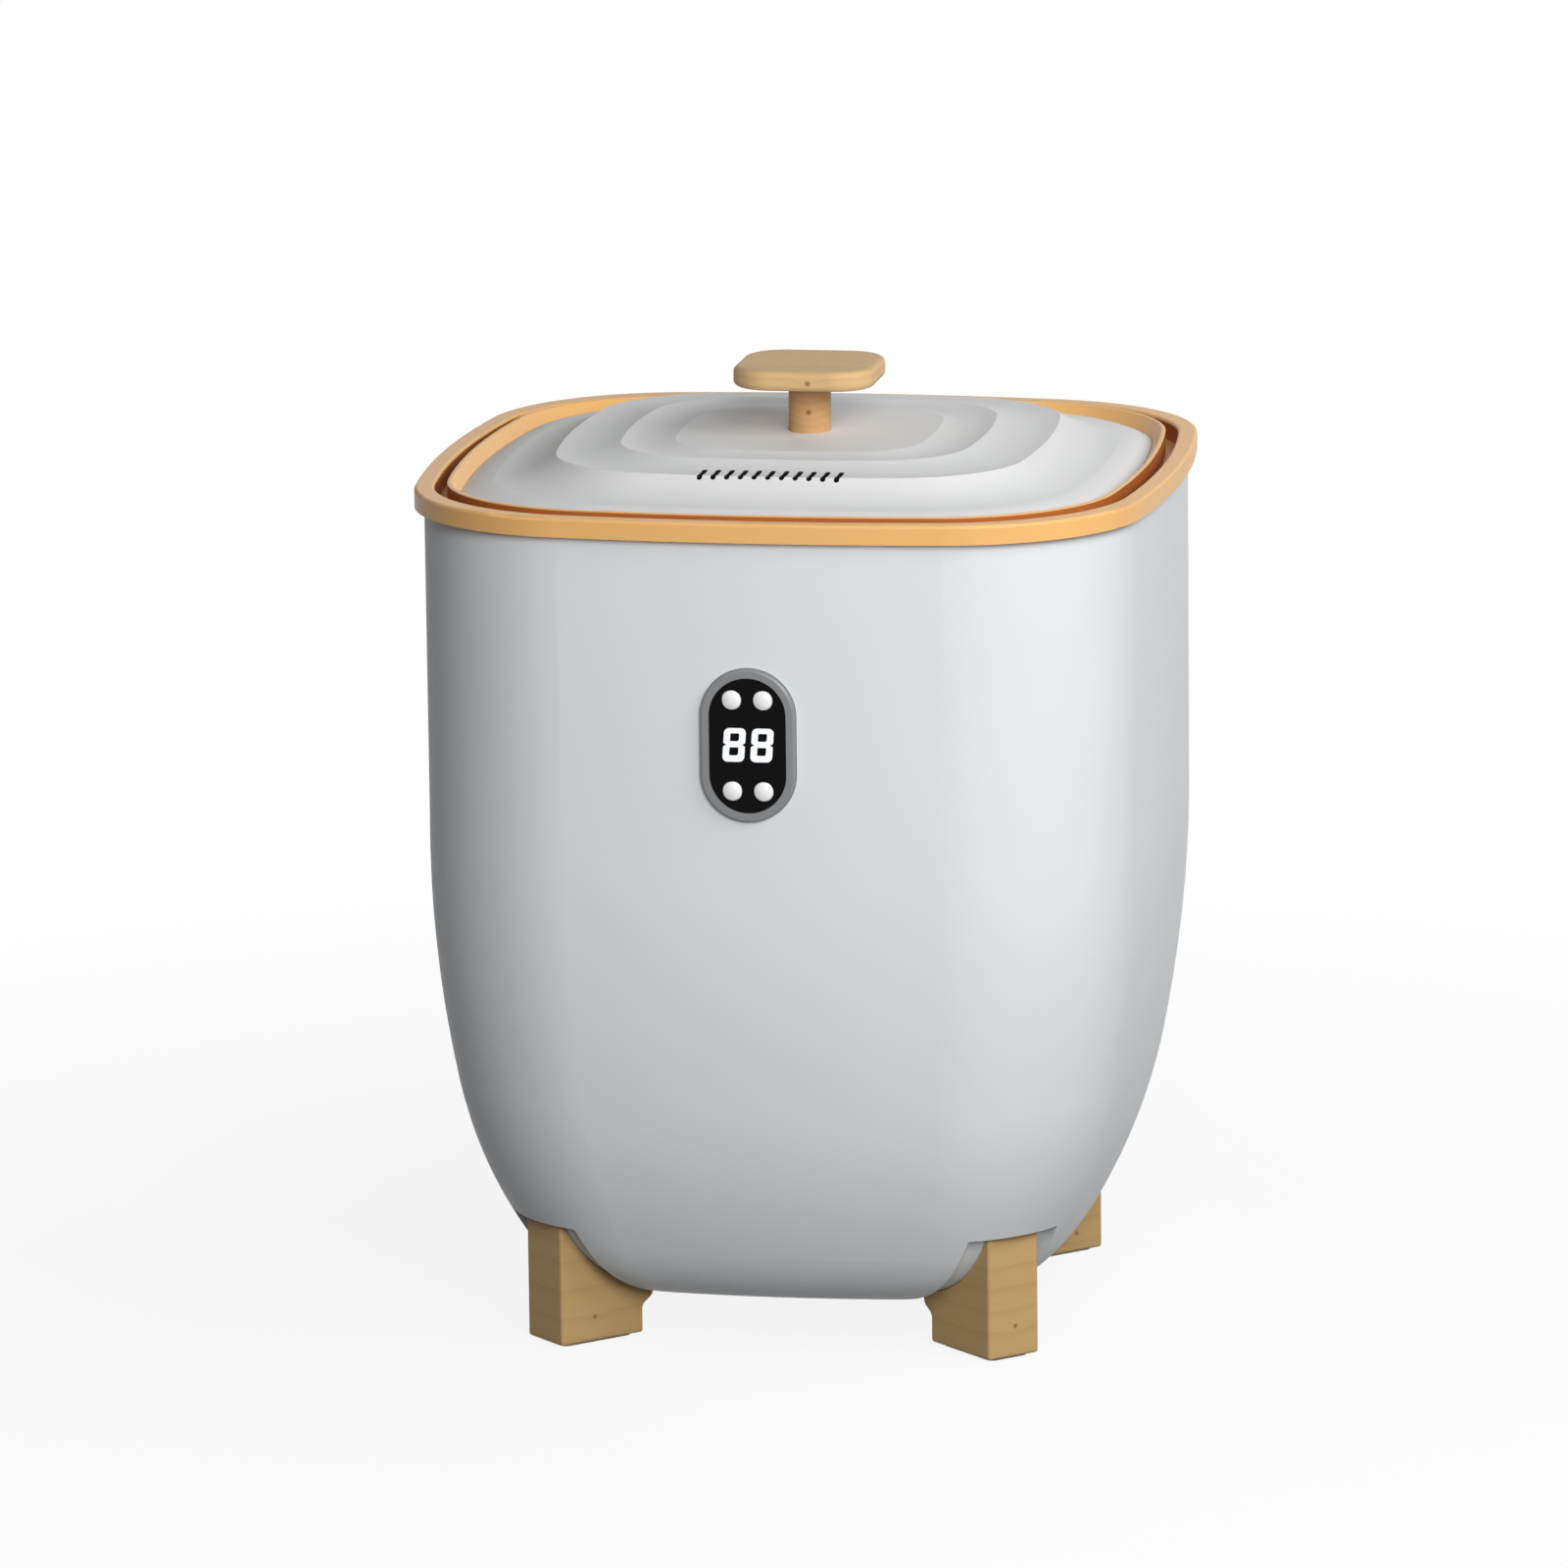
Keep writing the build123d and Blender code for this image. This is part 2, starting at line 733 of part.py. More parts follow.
def build_button(place):
    """Domed push button with a flange that keeps it behind the lens, and a stem to its switch."""
    x, height = place
    tip = lens_face + button_dome
    edge = lens_face + button_edge
    dome_radius = (button_radius**2 + (tip - edge) ** 2) / (2 * (tip - edge))
    half_way = (button_radius / 2, tip - dome_radius + sqrt(dome_radius**2 - button_radius**2 / 4))
    with BuildPart() as button:
        with BuildSketch(Plane(origin=(x, 0, height), x_dir=(1, 0, 0), z_dir=(0, 0, -1))):
            with BuildLine():
                Polyline(
                    (0, tip),
                    (0, button_back),
                    (button_stem, button_back),
                    (button_stem, button_rear),
                    (button_radius + button_flange, button_rear),
                    (button_radius + button_flange, button_face),
                    (button_radius, button_face),
                    (button_radius, edge),
                )
                ThreePointArc((button_radius, edge), half_way, (0, tip))
            make_face()
        revolve(axis=Axis((x, 0, height), (0, -1, 0)))
    return button.part


buttons = {}
for place_name, place in button_places.items():
    buttons[place_name] = build_button(place)
    buttons[place_name].label = "button_" + place_name

with BuildPart() as display_module:
    with BuildSketch(Plane.XZ.offset(board_front)):
        with Locations((0, panel_height)):
            Rectangle(display_width, display_length)
    extrude(amount=lens_back - seat_gap - board_front)
display_module.part.label = "display_module"

with BuildPart() as tact_switches:
    with BuildSketch(Plane.XZ.offset(board_front)):
        with Locations(*button_places.values()):
            Rectangle(switch_size, switch_size)
    extrude(amount=switch_height)
    add(rods(button_places.values(), plunger_radius, plunger_face, switch_face))
tact_switches.part.label = "tact_switches"

with BuildPart() as control_board:
    with BuildSketch(Plane.XZ.offset(board_back)):
        with Locations((0, panel_height)):
            Rectangle(board_width, board_length)
        with Locations(*board_screw_places):
            Circle(small_shank + bore_gap, mode=Mode.SUBTRACT)
    extrude(amount=board_thickness)
control_board.part.label = "control_board"

with BuildPart() as board_screws:
    add(rods(board_screw_places, small_head, board_back, board_back - small_head_height))
    add(rods(board_screw_places, small_shank, flange_front - fit, board_back))
board_screws.part.label = "board_screws"

# ---------------------------------------------------------------- cord bush and its cup
# The cup ends flush with the shell outside, and its flange follows the shell's inner face.
with BuildPart() as cup_flange:
    add(rods(bush_place, cup_outer + cup_flange_width, -bush_back, -ring_half))
    add(body_form(-shell_wall - seat_gap, rim_z), mode=Mode.INTERSECT)
    add(body_form(-shell_wall - seat_gap - cup_flange_thickness, rim_z), mode=Mode.SUBTRACT)

with BuildPart() as cord_cup:
    add(rods(bush_place, cup_outer, -cup_floor, -ring_half))
    add(body_form(0, rim_z), mode=Mode.INTERSECT)
    add(cup_flange.part)
    add(rods(bush_place, cup_radius, -bush_face, -ring_half), mode=Mode.SUBTRACT)
    add(rods(bush_place, bush_radius + bore_gap, -cup_floor, -bush_face), mode=Mode.SUBTRACT)
cord_cup.part.label = "cord_cup"

with BuildPart() as cord_bush:
    add(rods(bush_place, bush_flange, -bush_face, -bush_end))
    fillet(cord_bush.edges().group_by(Axis.Y)[-1], bush_flange_edge)
    add(rods(bush_place, bush_radius, -bush_back, -bush_face))
    add(rods(bush_place, bush_bore, -bush_back, -bush_end), mode=Mode.SUBTRACT)
cord_bush.part.label = "cord_bush"

# ---------------------------------------------------------------- lid frame
with BuildPart() as lid_frame:
    add(prism(frame_half, frame_bottom, frame_top))
    fillet(lid_frame.edges().group_by(Axis.Z)[-1], frame_edge_radius)
    add(creased([[(cover_half + fit, slope_foot), (slope_half, frame_top)]]), mode=Mode.SUBTRACT)
    add(prism(cover_half + fit, cover_z, slope_foot), mode=Mode.SUBTRACT)
    add(prism(cover_half - frame_ledge_width, frame_bottom, cover_z), mode=Mode.SUBTRACT)
lid_frame.part.label = "lid_frame"


# ---------------------------------------------------------------- lid cover: four rippled crests
def ripple(outer, inner, dip):
    """Hollow between two (half, height) crests, dip deep in its middle."""
    return [outer, ((outer[0] + inner[0]) / 2, (outer[1] + inner[1]) / 2 - dip), inner]


def cover_top(low):
    """The rippled top of the lid as a solid that stands on the level low."""
    edge = (cover_half, cover_z + cover_edge)
    return creased(
        [
            [(cover_half, low), edge],
            ripple(edge, outer_crest, outer_dip),
            ripple(outer_crest, second_crest, second_dip),
            ripple(second_crest, third_crest, third_dip),
            ripple(third_crest, inner_crest, inner_dip),
            ripple(inner_crest, (plateau_half, stem_z), plateau_dip),
        ]
    )


def cover_shell():
    """The rippled top, hollowed from below to its wall."""
    under = [
        (cover_half - cover_wall, cover_z),
        (cover_half - under_edge_width, cover_z + cover_wall),
        (second_crest[0], second_crest[1] - under_second_drop),
        (third_crest[0], third_crest[1] - under_third_drop),
        (inner_crest[0], stem_z - under_inner_drop),
        (plateau_half + cover_wall, under_z),
    ]
    with BuildPart() as shell:
        add(cover_top(cover_z))
        add(creased(list(zip(under, under[1:]))), mode=Mode.SUBTRACT)
    return shell.part


with BuildPart() as lid_cover:
    upright(rib_radius, post_z, stem_z)
    upright(rib_radius - rib_wall, post_z, stem_z, mode=Mode.SUBTRACT)
    with Locations(*post_points):
        upright(small_shank + boss_wall, post_z, stem_z)
    add(cover_top(tray_z), mode=Mode.INTERSECT)
    add(cover_shell())
    with Locations(*post_points):
        upright(small_shank + bore_gap, post_z, cover_z + post_hole_rise, mode=Mode.SUBTRACT)
    upright(knob_shank + bore_gap, cover_z, stem_z, mode=Mode.SUBTRACT)
    with BuildSketch(Plane.XY.offset(cover_z)):
        with Locations((0, -vent_middle)):
            with GridLocations(vent_pitch, 0, vent_count, 1):
                SlotOverall(vent_length, vent_width, rotation=90)
    extrude(amount=stem_z - cover_z, mode=Mode.SUBTRACT)
lid_cover.part.label = "lid_cover"

# ---------------------------------------------------------------- lid liner, seal and screws
with BuildPart() as lid_liner:
    add(prism(liner_half, liner_z, frame_bottom))
    fillet(lid_liner.edges().group_by(Axis.Z)[0], liner_corner)
    add(prism(liner_half - liner_wall, tray_z, frame_bottom), mode=Mode.SUBTRACT)
    with Locations(*post_points):
        upright(small_shank + bore_gap, liner_z, tray_z, mode=Mode.SUBTRACT)
    with BuildSketch(Plane.XY.offset(liner_z)):
        with Locations((0, -vent_middle)):
            with GridLocations(vent_pitch, 0, vent_count, 1):
                SlotOverall(vent_length, vent_width, rotation=90)
    extrude(amount=liner_wall, mode=Mode.SUBTRACT)
lid_liner.part.label = "lid_liner"

with BuildPart() as lid_seal:
    add(ring_prism(well_half - running_gap, liner_half + fit, seal_top - seal_height, seal_top))
    fillet(lid_seal.edges().group_by(Axis.Z)[0], running_gap)
lid_seal.part.label = "lid_seal"

with BuildPart() as lid_screws:
    with Locations(*post_points):
        upright(small_head, liner_z - small_head_height, liner_z)
        upright(small_shank, liner_z, cover_z + lid_screw_rise)
lid_screws.part.label = "lid_screws"

# ---------------------------------------------------------------- knob
with BuildPart() as knob_stem:
    upright(stem_radius, stem_z, knob_z)
    upright(knob_shank + bore_gap, stem_z, knob_z, mode=Mode.SUBTRACT)
knob_stem.part.label = "knob_stem"

with BuildPart() as knob_plate:
    with BuildSketch(Plane.XY.offset(knob_z)):
        RectangleRounded(knob_width, knob_depth, knob_corner)
    extrude(amount=knob_thickness)
    fillet(knob_plate.edges().group_by(Axis.Z)[-1], knob_edge)
    fillet(knob_plate.edges().group_by(Axis.Z)[0], knob_edge)
    upright(knob_shank + bore_gap, knob_z, knob_z + knob_screw_grip + fit, mode=Mode.SUBTRACT)
knob_plate.part.label = "knob_plate"

with BuildPart() as knob_washer:
    upright(washer_radius, washer_z, under_z)
    upright(knob_shank + bore_gap, washer_z, under_z, mode=Mode.SUBTRACT)
knob_washer.part.label = "knob_washer"

with BuildPart() as knob_screw:
    upright(knob_screw_head, washer_z - knob_screw_head_height, washer_z)
    upright(knob_shank, washer_z, knob_z + knob_screw_grip)
knob_screw.part.label = "knob_screw"

# ---------------------------------------------------------------- written out, one file a piece
pieces = [
    outer_shell, rim_ring, inner_bucket, heater_film, insulation_wrap, sensor_bracket, thermostat,
    thermal_fuse, temperature_sensor, base_cover, base_cover_screws, power_board, power_components,
    power_board_screws, leg_screws, foot_pads, panel_bezel, panel_lens, display_module, tact_switches,
    control_board, board_screws, cord_cup, cord_bush, lid_frame, lid_cover, lid_liner, lid_seal,
    lid_screws, knob_stem, knob_plate, knob_washer, knob_screw,
]
os.makedirs("parts", exist_ok=True)
for solid in [piece.part for piece in pieces] + list(legs.values()) + list(buttons.values()):
    export_step(solid, "parts/" + solid.label + ".step")
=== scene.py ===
"""Looks of a towel warmer bucket: camera, light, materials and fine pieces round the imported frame."""

import json
import logging
import math
import operator
from dataclasses import dataclass, field, replace
from enum import Enum

import bmesh
import bpy
from mathutils import Matrix, Vector


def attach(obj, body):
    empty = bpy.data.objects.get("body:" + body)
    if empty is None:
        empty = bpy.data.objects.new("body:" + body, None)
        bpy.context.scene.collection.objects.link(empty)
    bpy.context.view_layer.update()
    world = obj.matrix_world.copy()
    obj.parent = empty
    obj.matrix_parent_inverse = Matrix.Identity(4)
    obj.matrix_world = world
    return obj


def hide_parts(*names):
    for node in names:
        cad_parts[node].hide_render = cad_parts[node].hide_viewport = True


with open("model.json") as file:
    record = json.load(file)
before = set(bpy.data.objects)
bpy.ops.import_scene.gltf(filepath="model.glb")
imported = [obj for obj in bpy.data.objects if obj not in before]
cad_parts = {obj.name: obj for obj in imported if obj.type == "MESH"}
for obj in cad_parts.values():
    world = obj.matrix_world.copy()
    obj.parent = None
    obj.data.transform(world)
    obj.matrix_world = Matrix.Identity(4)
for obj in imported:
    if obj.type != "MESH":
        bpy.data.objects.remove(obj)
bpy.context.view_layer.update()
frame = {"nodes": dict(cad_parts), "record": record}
log = logging.getLogger("towel_warmer")

MM = 0.001

RGB = tuple[float, float, float]
RGBA = tuple[float, float, float, float]
Point = tuple[float, float, float]
Loop = list[tuple[float, float]]
Node = bpy.types.Node
Tree = bpy.types.NodeTree
Socket = bpy.types.NodeSocket
Material = bpy.types.Material
Mesh = bpy.types.Mesh
Object = bpy.types.Object
Value = float | Socket
Colour = RGBA | Socket


@dataclass(frozen=True)
class Extent:
    """Box of a carried-over node in millimetres, to a tenth, which takes out the error of its mesh.

    Attributes:
        half: half its width.
        front: place of its front on Y.
        bottom: its lowest height.
        top: its greatest height.
        level: height of its middle.
    """

    half: float
    front: float
    bottom: float
    top: float
    level: float

    @classmethod
    def of(cls, node: str) -> "Extent":
        """Measures a node of the frame.

        Args:
            node: its name.

        Returns:
            Its box.
        """
        corners = frame["nodes"][node].bound_box
        xs, ys, zs = ([corner[axis] / MM for corner in corners] for axis in range(3))
        sizes = (max(xs), min(ys), min(zs), max(zs), (min(zs) + max(zs)) / 2)
        return cls(*(round(size, 1) for size in sizes))


# ---- names and finishes
class Slot(Enum):
    """Material slots of the record."""

    SHELL = "shell_white"
    RIM = "rim_tan"
    LID = "lid_white"
    WOOD = "light_wood"
    BEZEL = "bezel_grey"
    LENS = "panel_black"
    BUTTON = "button_white"
    WELL = "well_aluminium"
    FOIL = "foil"
    FELT = "insulation"
    STEEL = "screw_steel"
    BOARD = "board_green"
    COMPONENT = "component_dark"
    PAD = "pad_rubber"
    SEAL = "seal_rubber"
    BASE = "base_grey"


class Surface(Enum):
    """Ways of finishing a surface, one node recipe each."""

    MOULDED = "moulded"
    BRUSHED = "brushed"
    WOOD = "wood"


@dataclass(frozen=True)
class Finish:
    """One material.

    Attributes:
        colour: main colour, linear RGB.
        shade: second colour of its variation, linear RGB.
        roughness: middle of the roughness.
        spread: how far the roughness varies either way.
        grain: size of the fine texture, metres.
        relief: depth of the fine texture, metres.
        specular: level of the surface's reflections, 0.5 for plain plastic.
        sheen: weight of a fibrous surface's sheen.
        glow: strength of its own light.
        glow_colour: colour of that light, linear RGB.
        surface: node recipe.
    """

    colour: RGB
    shade: RGB
    roughness: float
    spread: float = 0.05
    grain: float = 0.0006
    relief: float = 0.00001
    specular: float = 0.5
    sheen: float = 0.0
    glow: float = 0.0
    glow_colour: RGB = (0.92, 0.96, 1.0)
    surface: Surface = Surface.MOULDED


FINISHES: dict[Slot, Finish] = {
    Slot.SHELL: Finish(
        (0.73, 0.755, 0.775), (0.70, 0.725, 0.745),
        roughness=0.46, grain=0.0009, relief=0.000006, specular=0.14,
    ),
    Slot.RIM: Finish(
        (0.83, 0.48, 0.175), (0.77, 0.42, 0.14),
        roughness=0.38, grain=0.0008, relief=0.000006, specular=0.3,
    ),
    Slot.LID: Finish(
        (0.78, 0.785, 0.785), (0.75, 0.755, 0.755),
        roughness=0.50, grain=0.0009, relief=0.000006, specular=0.07,
    ),
    Slot.WOOD: Finish(
        (0.48, 0.32, 0.14), (0.36, 0.225, 0.09),
        roughness=0.48, spread=0.08, relief=0.00002, specular=0.15, surface=Surface.WOOD,
    ),
    Slot.BEZEL: Finish(
        (0.235, 0.24, 0.245), (0.20, 0.205, 0.21),
        roughness=0.36, spread=0.06, relief=0.000008,
    ),
    Slot.LENS: Finish(
        (0.003, 0.003, 0.0035), (0.005, 0.005, 0.0055),
        roughness=0.10, spread=0.03, grain=0.004, relief=0.000001, specular=0.05,
    ),
    Slot.BUTTON: Finish(
        (0.89, 0.89, 0.89), (0.86, 0.86, 0.86),
        roughness=0.22, spread=0.04, grain=0.002, relief=0.000001,
    ),
    Slot.WELL: Finish(
        (0.80, 0.81, 0.82), (0.72, 0.73, 0.74),
        roughness=0.30, spread=0.08, grain=0.0007, relief=0.000004, surface=Surface.BRUSHED,
    ),
    Slot.FOIL: Finish(
        (0.66, 0.65, 0.62), (0.55, 0.54, 0.52),
        roughness=0.30, spread=0.12, grain=0.004, relief=0.00006, surface=Surface.BRUSHED,
    ),
    Slot.FELT: Finish(
        (0.72, 0.70, 0.64), (0.60, 0.57, 0.50),
        roughness=0.92, grain=0.0009, relief=0.0003, sheen=0.4,
    ),
    Slot.STEEL: Finish(
        (0.58, 0.58, 0.57), (0.46, 0.46, 0.46),
        roughness=0.30, spread=0.08, grain=0.0004, relief=0.000003, surface=Surface.BRUSHED,
    ),
    Slot.BOARD: Finish(
        (0.02, 0.14, 0.05), (0.015, 0.11, 0.04),
        roughness=0.35, spread=0.08, grain=0.002,
    ),
    Slot.COMPONENT: Finish(
        (0.03, 0.03, 0.032), (0.045, 0.045, 0.05),
        roughness=0.5, spread=0.08, grain=0.0005,
    ),
    Slot.PAD: Finish(
        (0.045, 0.045, 0.047), (0.07, 0.07, 0.07),
        roughness=0.78, spread=0.08, grain=0.0007, relief=0.00003,
    ),
    Slot.SEAL: Finish(
        (0.60, 0.60, 0.58), (0.54, 0.54, 0.52),
        roughness=0.62, spread=0.06, grain=0.0008,
    ),
    Slot.BASE: Finish(
        (0.50, 0.515, 0.525), (0.45, 0.46, 0.47),
        roughness=0.55, spread=0.06, grain=0.0007, relief=0.00004,
    ),
}
DISPLAY_GLOW = Finish((0.86, 0.86, 0.87), (0.82, 0.82, 0.84), roughness=0.4, relief=0.000004, glow=0.22)


def rgba(colour: RGB, factor: float = 1.0) -> RGBA:
    """Multiplies linear RGB by a factor and adds an alpha of 1."""
    return (*(factor * part for part in colour), 1.0)


# ---- node graphs
class Graph:
    """Short-hand for the nodes of one tree."""

    def __init__(self, tree: Tree) -> None:
        """Takes a tree and empties it.

        Args:
            tree: node tree to fill.
        """
        self.tree = tree
        tree.nodes.clear()

    def node(self, kind: str, inputs: dict[str | int, object] | None = None, **settings: object) -> Node:
        """Adds a node.

        Args:
            kind: Blender's name for the node's type.
            inputs: socket name or index to a value or to the socket that feeds it.
            **settings: attributes of the node.

        Returns:
            The node.
        """
        made = self.tree.nodes.new(kind)
        for key, value in settings.items():
            setattr(made, key, value)
        for key, value in (inputs or {}).items():
            self.feed(made.inputs[key], value)
        return made

    def feed(self, target: Socket, value: object) -> None:
        """Sets an input or links it.

        Args:
            target: the input.
            value: what it is set to, or the socket that feeds it.
        """
        if isinstance(value, Socket):
            self.tree.links.new(value, target)
        else:
            target.default_value = value

    def place(self) -> Socket:
        """Adds the Object coordinates and gives their socket."""
        return self.node("ShaderNodeTexCoord").outputs["Object"]

    def math(self, operation: str, first: Value, second: Value = 0.0, clamp: bool = False) -> Socket:
        """Adds a Math node, which keeps its result between 0 and 1 where it clamps, and gives its socket."""
        inputs = {0: first, 1: second}
        return self.node("ShaderNodeMath", inputs, operation=operation, use_clamp=clamp).outputs[0]

    def scaled(
        self, value: Value, low: float, high: float, start: float = 0.0, end: float = 1.0, way: str = "LINEAR"
    ) -> Socket:
        """Maps the range from start to end onto low to high, in one of Blender's named ways."""
        inputs = {"Value": value, "From Min": start, "From Max": end, "To Min": low, "To Max": high}
        return self.node("ShaderNodeMapRange", inputs, interpolation_type=way).outputs["Result"]

    def noise(
        self, place: Socket, scale: Value, detail: float, roughness: float = 0.5, seed: Value | None = None
    ) -> Socket:
        """Adds a noise texture.

        Args:
            place: point that it is read at.
            scale: how fine it is.
            detail: number of its finer layers.
            roughness: how strong the finer layers are.
            seed: changes the pattern.

        Returns:
            Its value.
        """
        inputs = {"Vector": place, "Scale": scale, "Detail": detail, "Roughness": roughness}
        if seed is None:
            return self.node("ShaderNodeTexNoise", inputs).outputs["Fac"]
        return self.node("ShaderNodeTexNoise", {**inputs, "W": seed}, noise_dimensions="4D").outputs["Fac"]

    def mix(self, factor: Value, first: Colour, second: Colour) -> Socket:
        """Mixes two colours.

        Args:
            factor: 0 for the first colour, 1 for the second.
            first: first colour.
            second: second colour.

        Returns:
            The colour socket.
        """
        factor_input, first_input, second_input, colour_output = 0, 6, 7, 2
        inputs = {factor_input: factor, first_input: first, second_input: second}
        return self.node("ShaderNodeMix", inputs, data_type="RGBA").outputs[colour_output]


class Group(Graph):
    """Shader node group in the making.

    Attributes:
        ins: its inputs by name.
        leave: node that its outputs end in.
    """

    def __init__(self, name: str, ins: dict[str, str], outs: tuple[str, ...]) -> None:
        """Starts the group.

        Args:
            name: name of the group.
            ins: input name to socket type.
            outs: names of its outputs, which are numbers.
        """
        super().__init__(bpy.data.node_groups.new(name, "ShaderNodeTree"))
        for label, kind in ins.items():
            self.tree.interface.new_socket(label, in_out="INPUT", socket_type=kind)
        for label in outs:
            self.tree.interface.new_socket(label, in_out="OUTPUT", socket_type="NodeSocketFloat")
        entry = self.node("NodeGroupInput").outputs
        self.ins = {label: entry[label] for label in ins}
        self.leave = self.node("NodeGroupOutput")

    def give(self, **results: Socket) -> Tree:
        """Joins the outputs and ends the group.

        Args:
            **results: output name to the socket that feeds it.

        Returns:
            The finished tree.
        """
        for label, source in results.items():
            self.feed(self.leave.inputs[label], source)
        return self.tree


def speckle_group() -> Tree:
    """Fine texture that most surfaces share.

    Returns:
        A group from Grain (size in metres) to Cloud (slow variation), Fine (texture) and Dust.
    """
    group = Group("Speckle", {"Grain": "NodeSocketFloat"}, ("Cloud", "Fine", "Dust"))
    place = group.place()
    rate = group.math("DIVIDE", 1.0, group.ins["Grain"])
    return group.give(
        Cloud=group.noise(place, scale=14.0, detail=3.0, roughness=0.55),
        Fine=group.noise(place, scale=rate, detail=4.0, roughness=0.6),
        Dust=group.noise(place, scale=220.0, detail=2.0),
    )


def timber_group() -> Tree:
    """Figure of light timber, with its rings seen as level bands and one small knot.

    Returns:
        A group from Stretch (factors that draw the figure out), Knot (its place), Ring (height of one
        ring, metres) and Seed to Late (dark wood), Pore (fine pores), Blotch (slow variation) and
        Knot (mask).
    """
    knot_core, knot_edge = 0.0006, 0.0016
    swirl_reach, swirl_rise = 0.011, 0.0016
    wander_rise = 0.016
    faint, strong = 0.35, 1.25
    ring_seam, ring_curve = 0.35, ((0.55, 0.22), (0.86, 0.85), (0.93, 1.0))
    vector, number = "NodeSocketVector", "NodeSocketFloat"
    inputs = {"Stretch": vector, "Knot": vector, "Ring": number, "Seed": number}
    group = Group("Timber", inputs, ("Late", "Pore", "Blotch", "Knot"))
    seed = group.ins["Seed"]
    place = group.place()
    from_knot = group.node("ShaderNodeVectorMath", {0: place, 1: group.ins["Knot"]}, operation="DISTANCE")
    away = from_knot.outputs["Value"]
    swirl = group.scaled(away, swirl_rise, 0.0, 0.0, swirl_reach, "SMOOTHERSTEP")
    stretched = group.node("ShaderNodeVectorMath", {0: place, 1: group.ins["Stretch"]}, operation="MULTIPLY")
    drawn = stretched.outputs["Vector"]
    wander = group.noise(drawn, scale=26.0, detail=2.0, roughness=0.45, seed=seed)
    height = group.node("ShaderNodeSeparateXYZ", {0: drawn}).outputs["Z"]
    drift = group.math("ADD", group.math("MULTIPLY", wander, wander_rise), swirl)
    rings = group.math("DIVIDE", group.math("ADD", height, drift), group.ins["Ring"])
    phase = group.math("FRACT", group.math("ADD", rings, seed))
    late = group.node("ShaderNodeFloatCurve", {"Value": phase})
    curve = late.mapping.curves[0]
    for x, y in ring_curve:
        curve.points.new(x, y)
    curve.points[0].location = (0.0, ring_seam)
    curve.points[-1].location = (1.0, ring_seam)
    late.mapping.update()
    uneven = group.scaled(group.noise(drawn, scale=120.0, detail=3.0, seed=seed), faint, strong)
    return group.give(
        Late=group.math("MULTIPLY", late.outputs["Value"], uneven, clamp=True),
        Pore=group.noise(drawn, scale=1500.0, detail=3.0, roughness=0.7, seed=seed),
        Blotch=group.noise(drawn, scale=40.0, detail=1.0, seed=seed),
        Knot=group.scaled(away, 0.0, 1.0, knot_edge, knot_core, "SMOOTHSTEP"),
    )


# ---- parts with shade painted into their colour
@dataclass(frozen=True)
class Vents:
    """The row of steam vents through the lid, with shade painted on their walls, millimetres.

    Attributes:
        cover: box of the lid's cover.
        inset: from the cover's edge to the middle of the row.
        pitch: from one vent to the next.
        width: of one vent.
        length: of one vent.
        row: half the length of the row.
        full: how far outside a vent's edge the painted shadow is still whole.
        gone: how far outside it the painted shadow has ended.
        shadow: painted shade colour of the vents' walls.
    """

    cover: Extent = Extent.of("lid_cover")
    inset: float = 43.0
    pitch: float = 5.64
    width: float = 2.0
    length: float = 15.0
    row: float = 31.0
    full: float = 0.05
    gone: float = 0.14
    shadow: RGB = (0.012, 0.012, 0.013)

    def inside(self, graph: Graph) -> Socket:
        """Mask of the vents' inner walls, where shade is painted.

        Args:
            graph: the lid material's graph.

        Returns:
            The mask.
        """
        # Painted shade: this mask puts a near-black shadow colour on the vent walls.
        axes = graph.node("ShaderNodeSeparateXYZ", {0: graph.place()}).outputs
        across = graph.math("PINGPONG", axes["X"], self.pitch / 2 * MM)
        along = graph.math("ABSOLUTE", graph.math("ADD", axes["Y"], (self.cover.half - self.inset) * MM))
        past = graph.math("MAXIMUM", graph.math("SUBTRACT", along, (self.length - self.width) / 2 * MM), 0.0)
        squares = (graph.math("POWER", distance, 2.0) for distance in (across, past))
        away = graph.math("SQRT", graph.math("ADD", *squares))
        edge = self.width / 2
        near = graph.scaled(away, 0.0, 1.0, (edge + self.gone) * MM, (edge + self.full) * MM)
        in_row = graph.math("LESS_THAN", graph.math("ABSOLUTE", axes["X"]), self.row * MM)
        return graph.math("MULTIPLY", near, in_row)


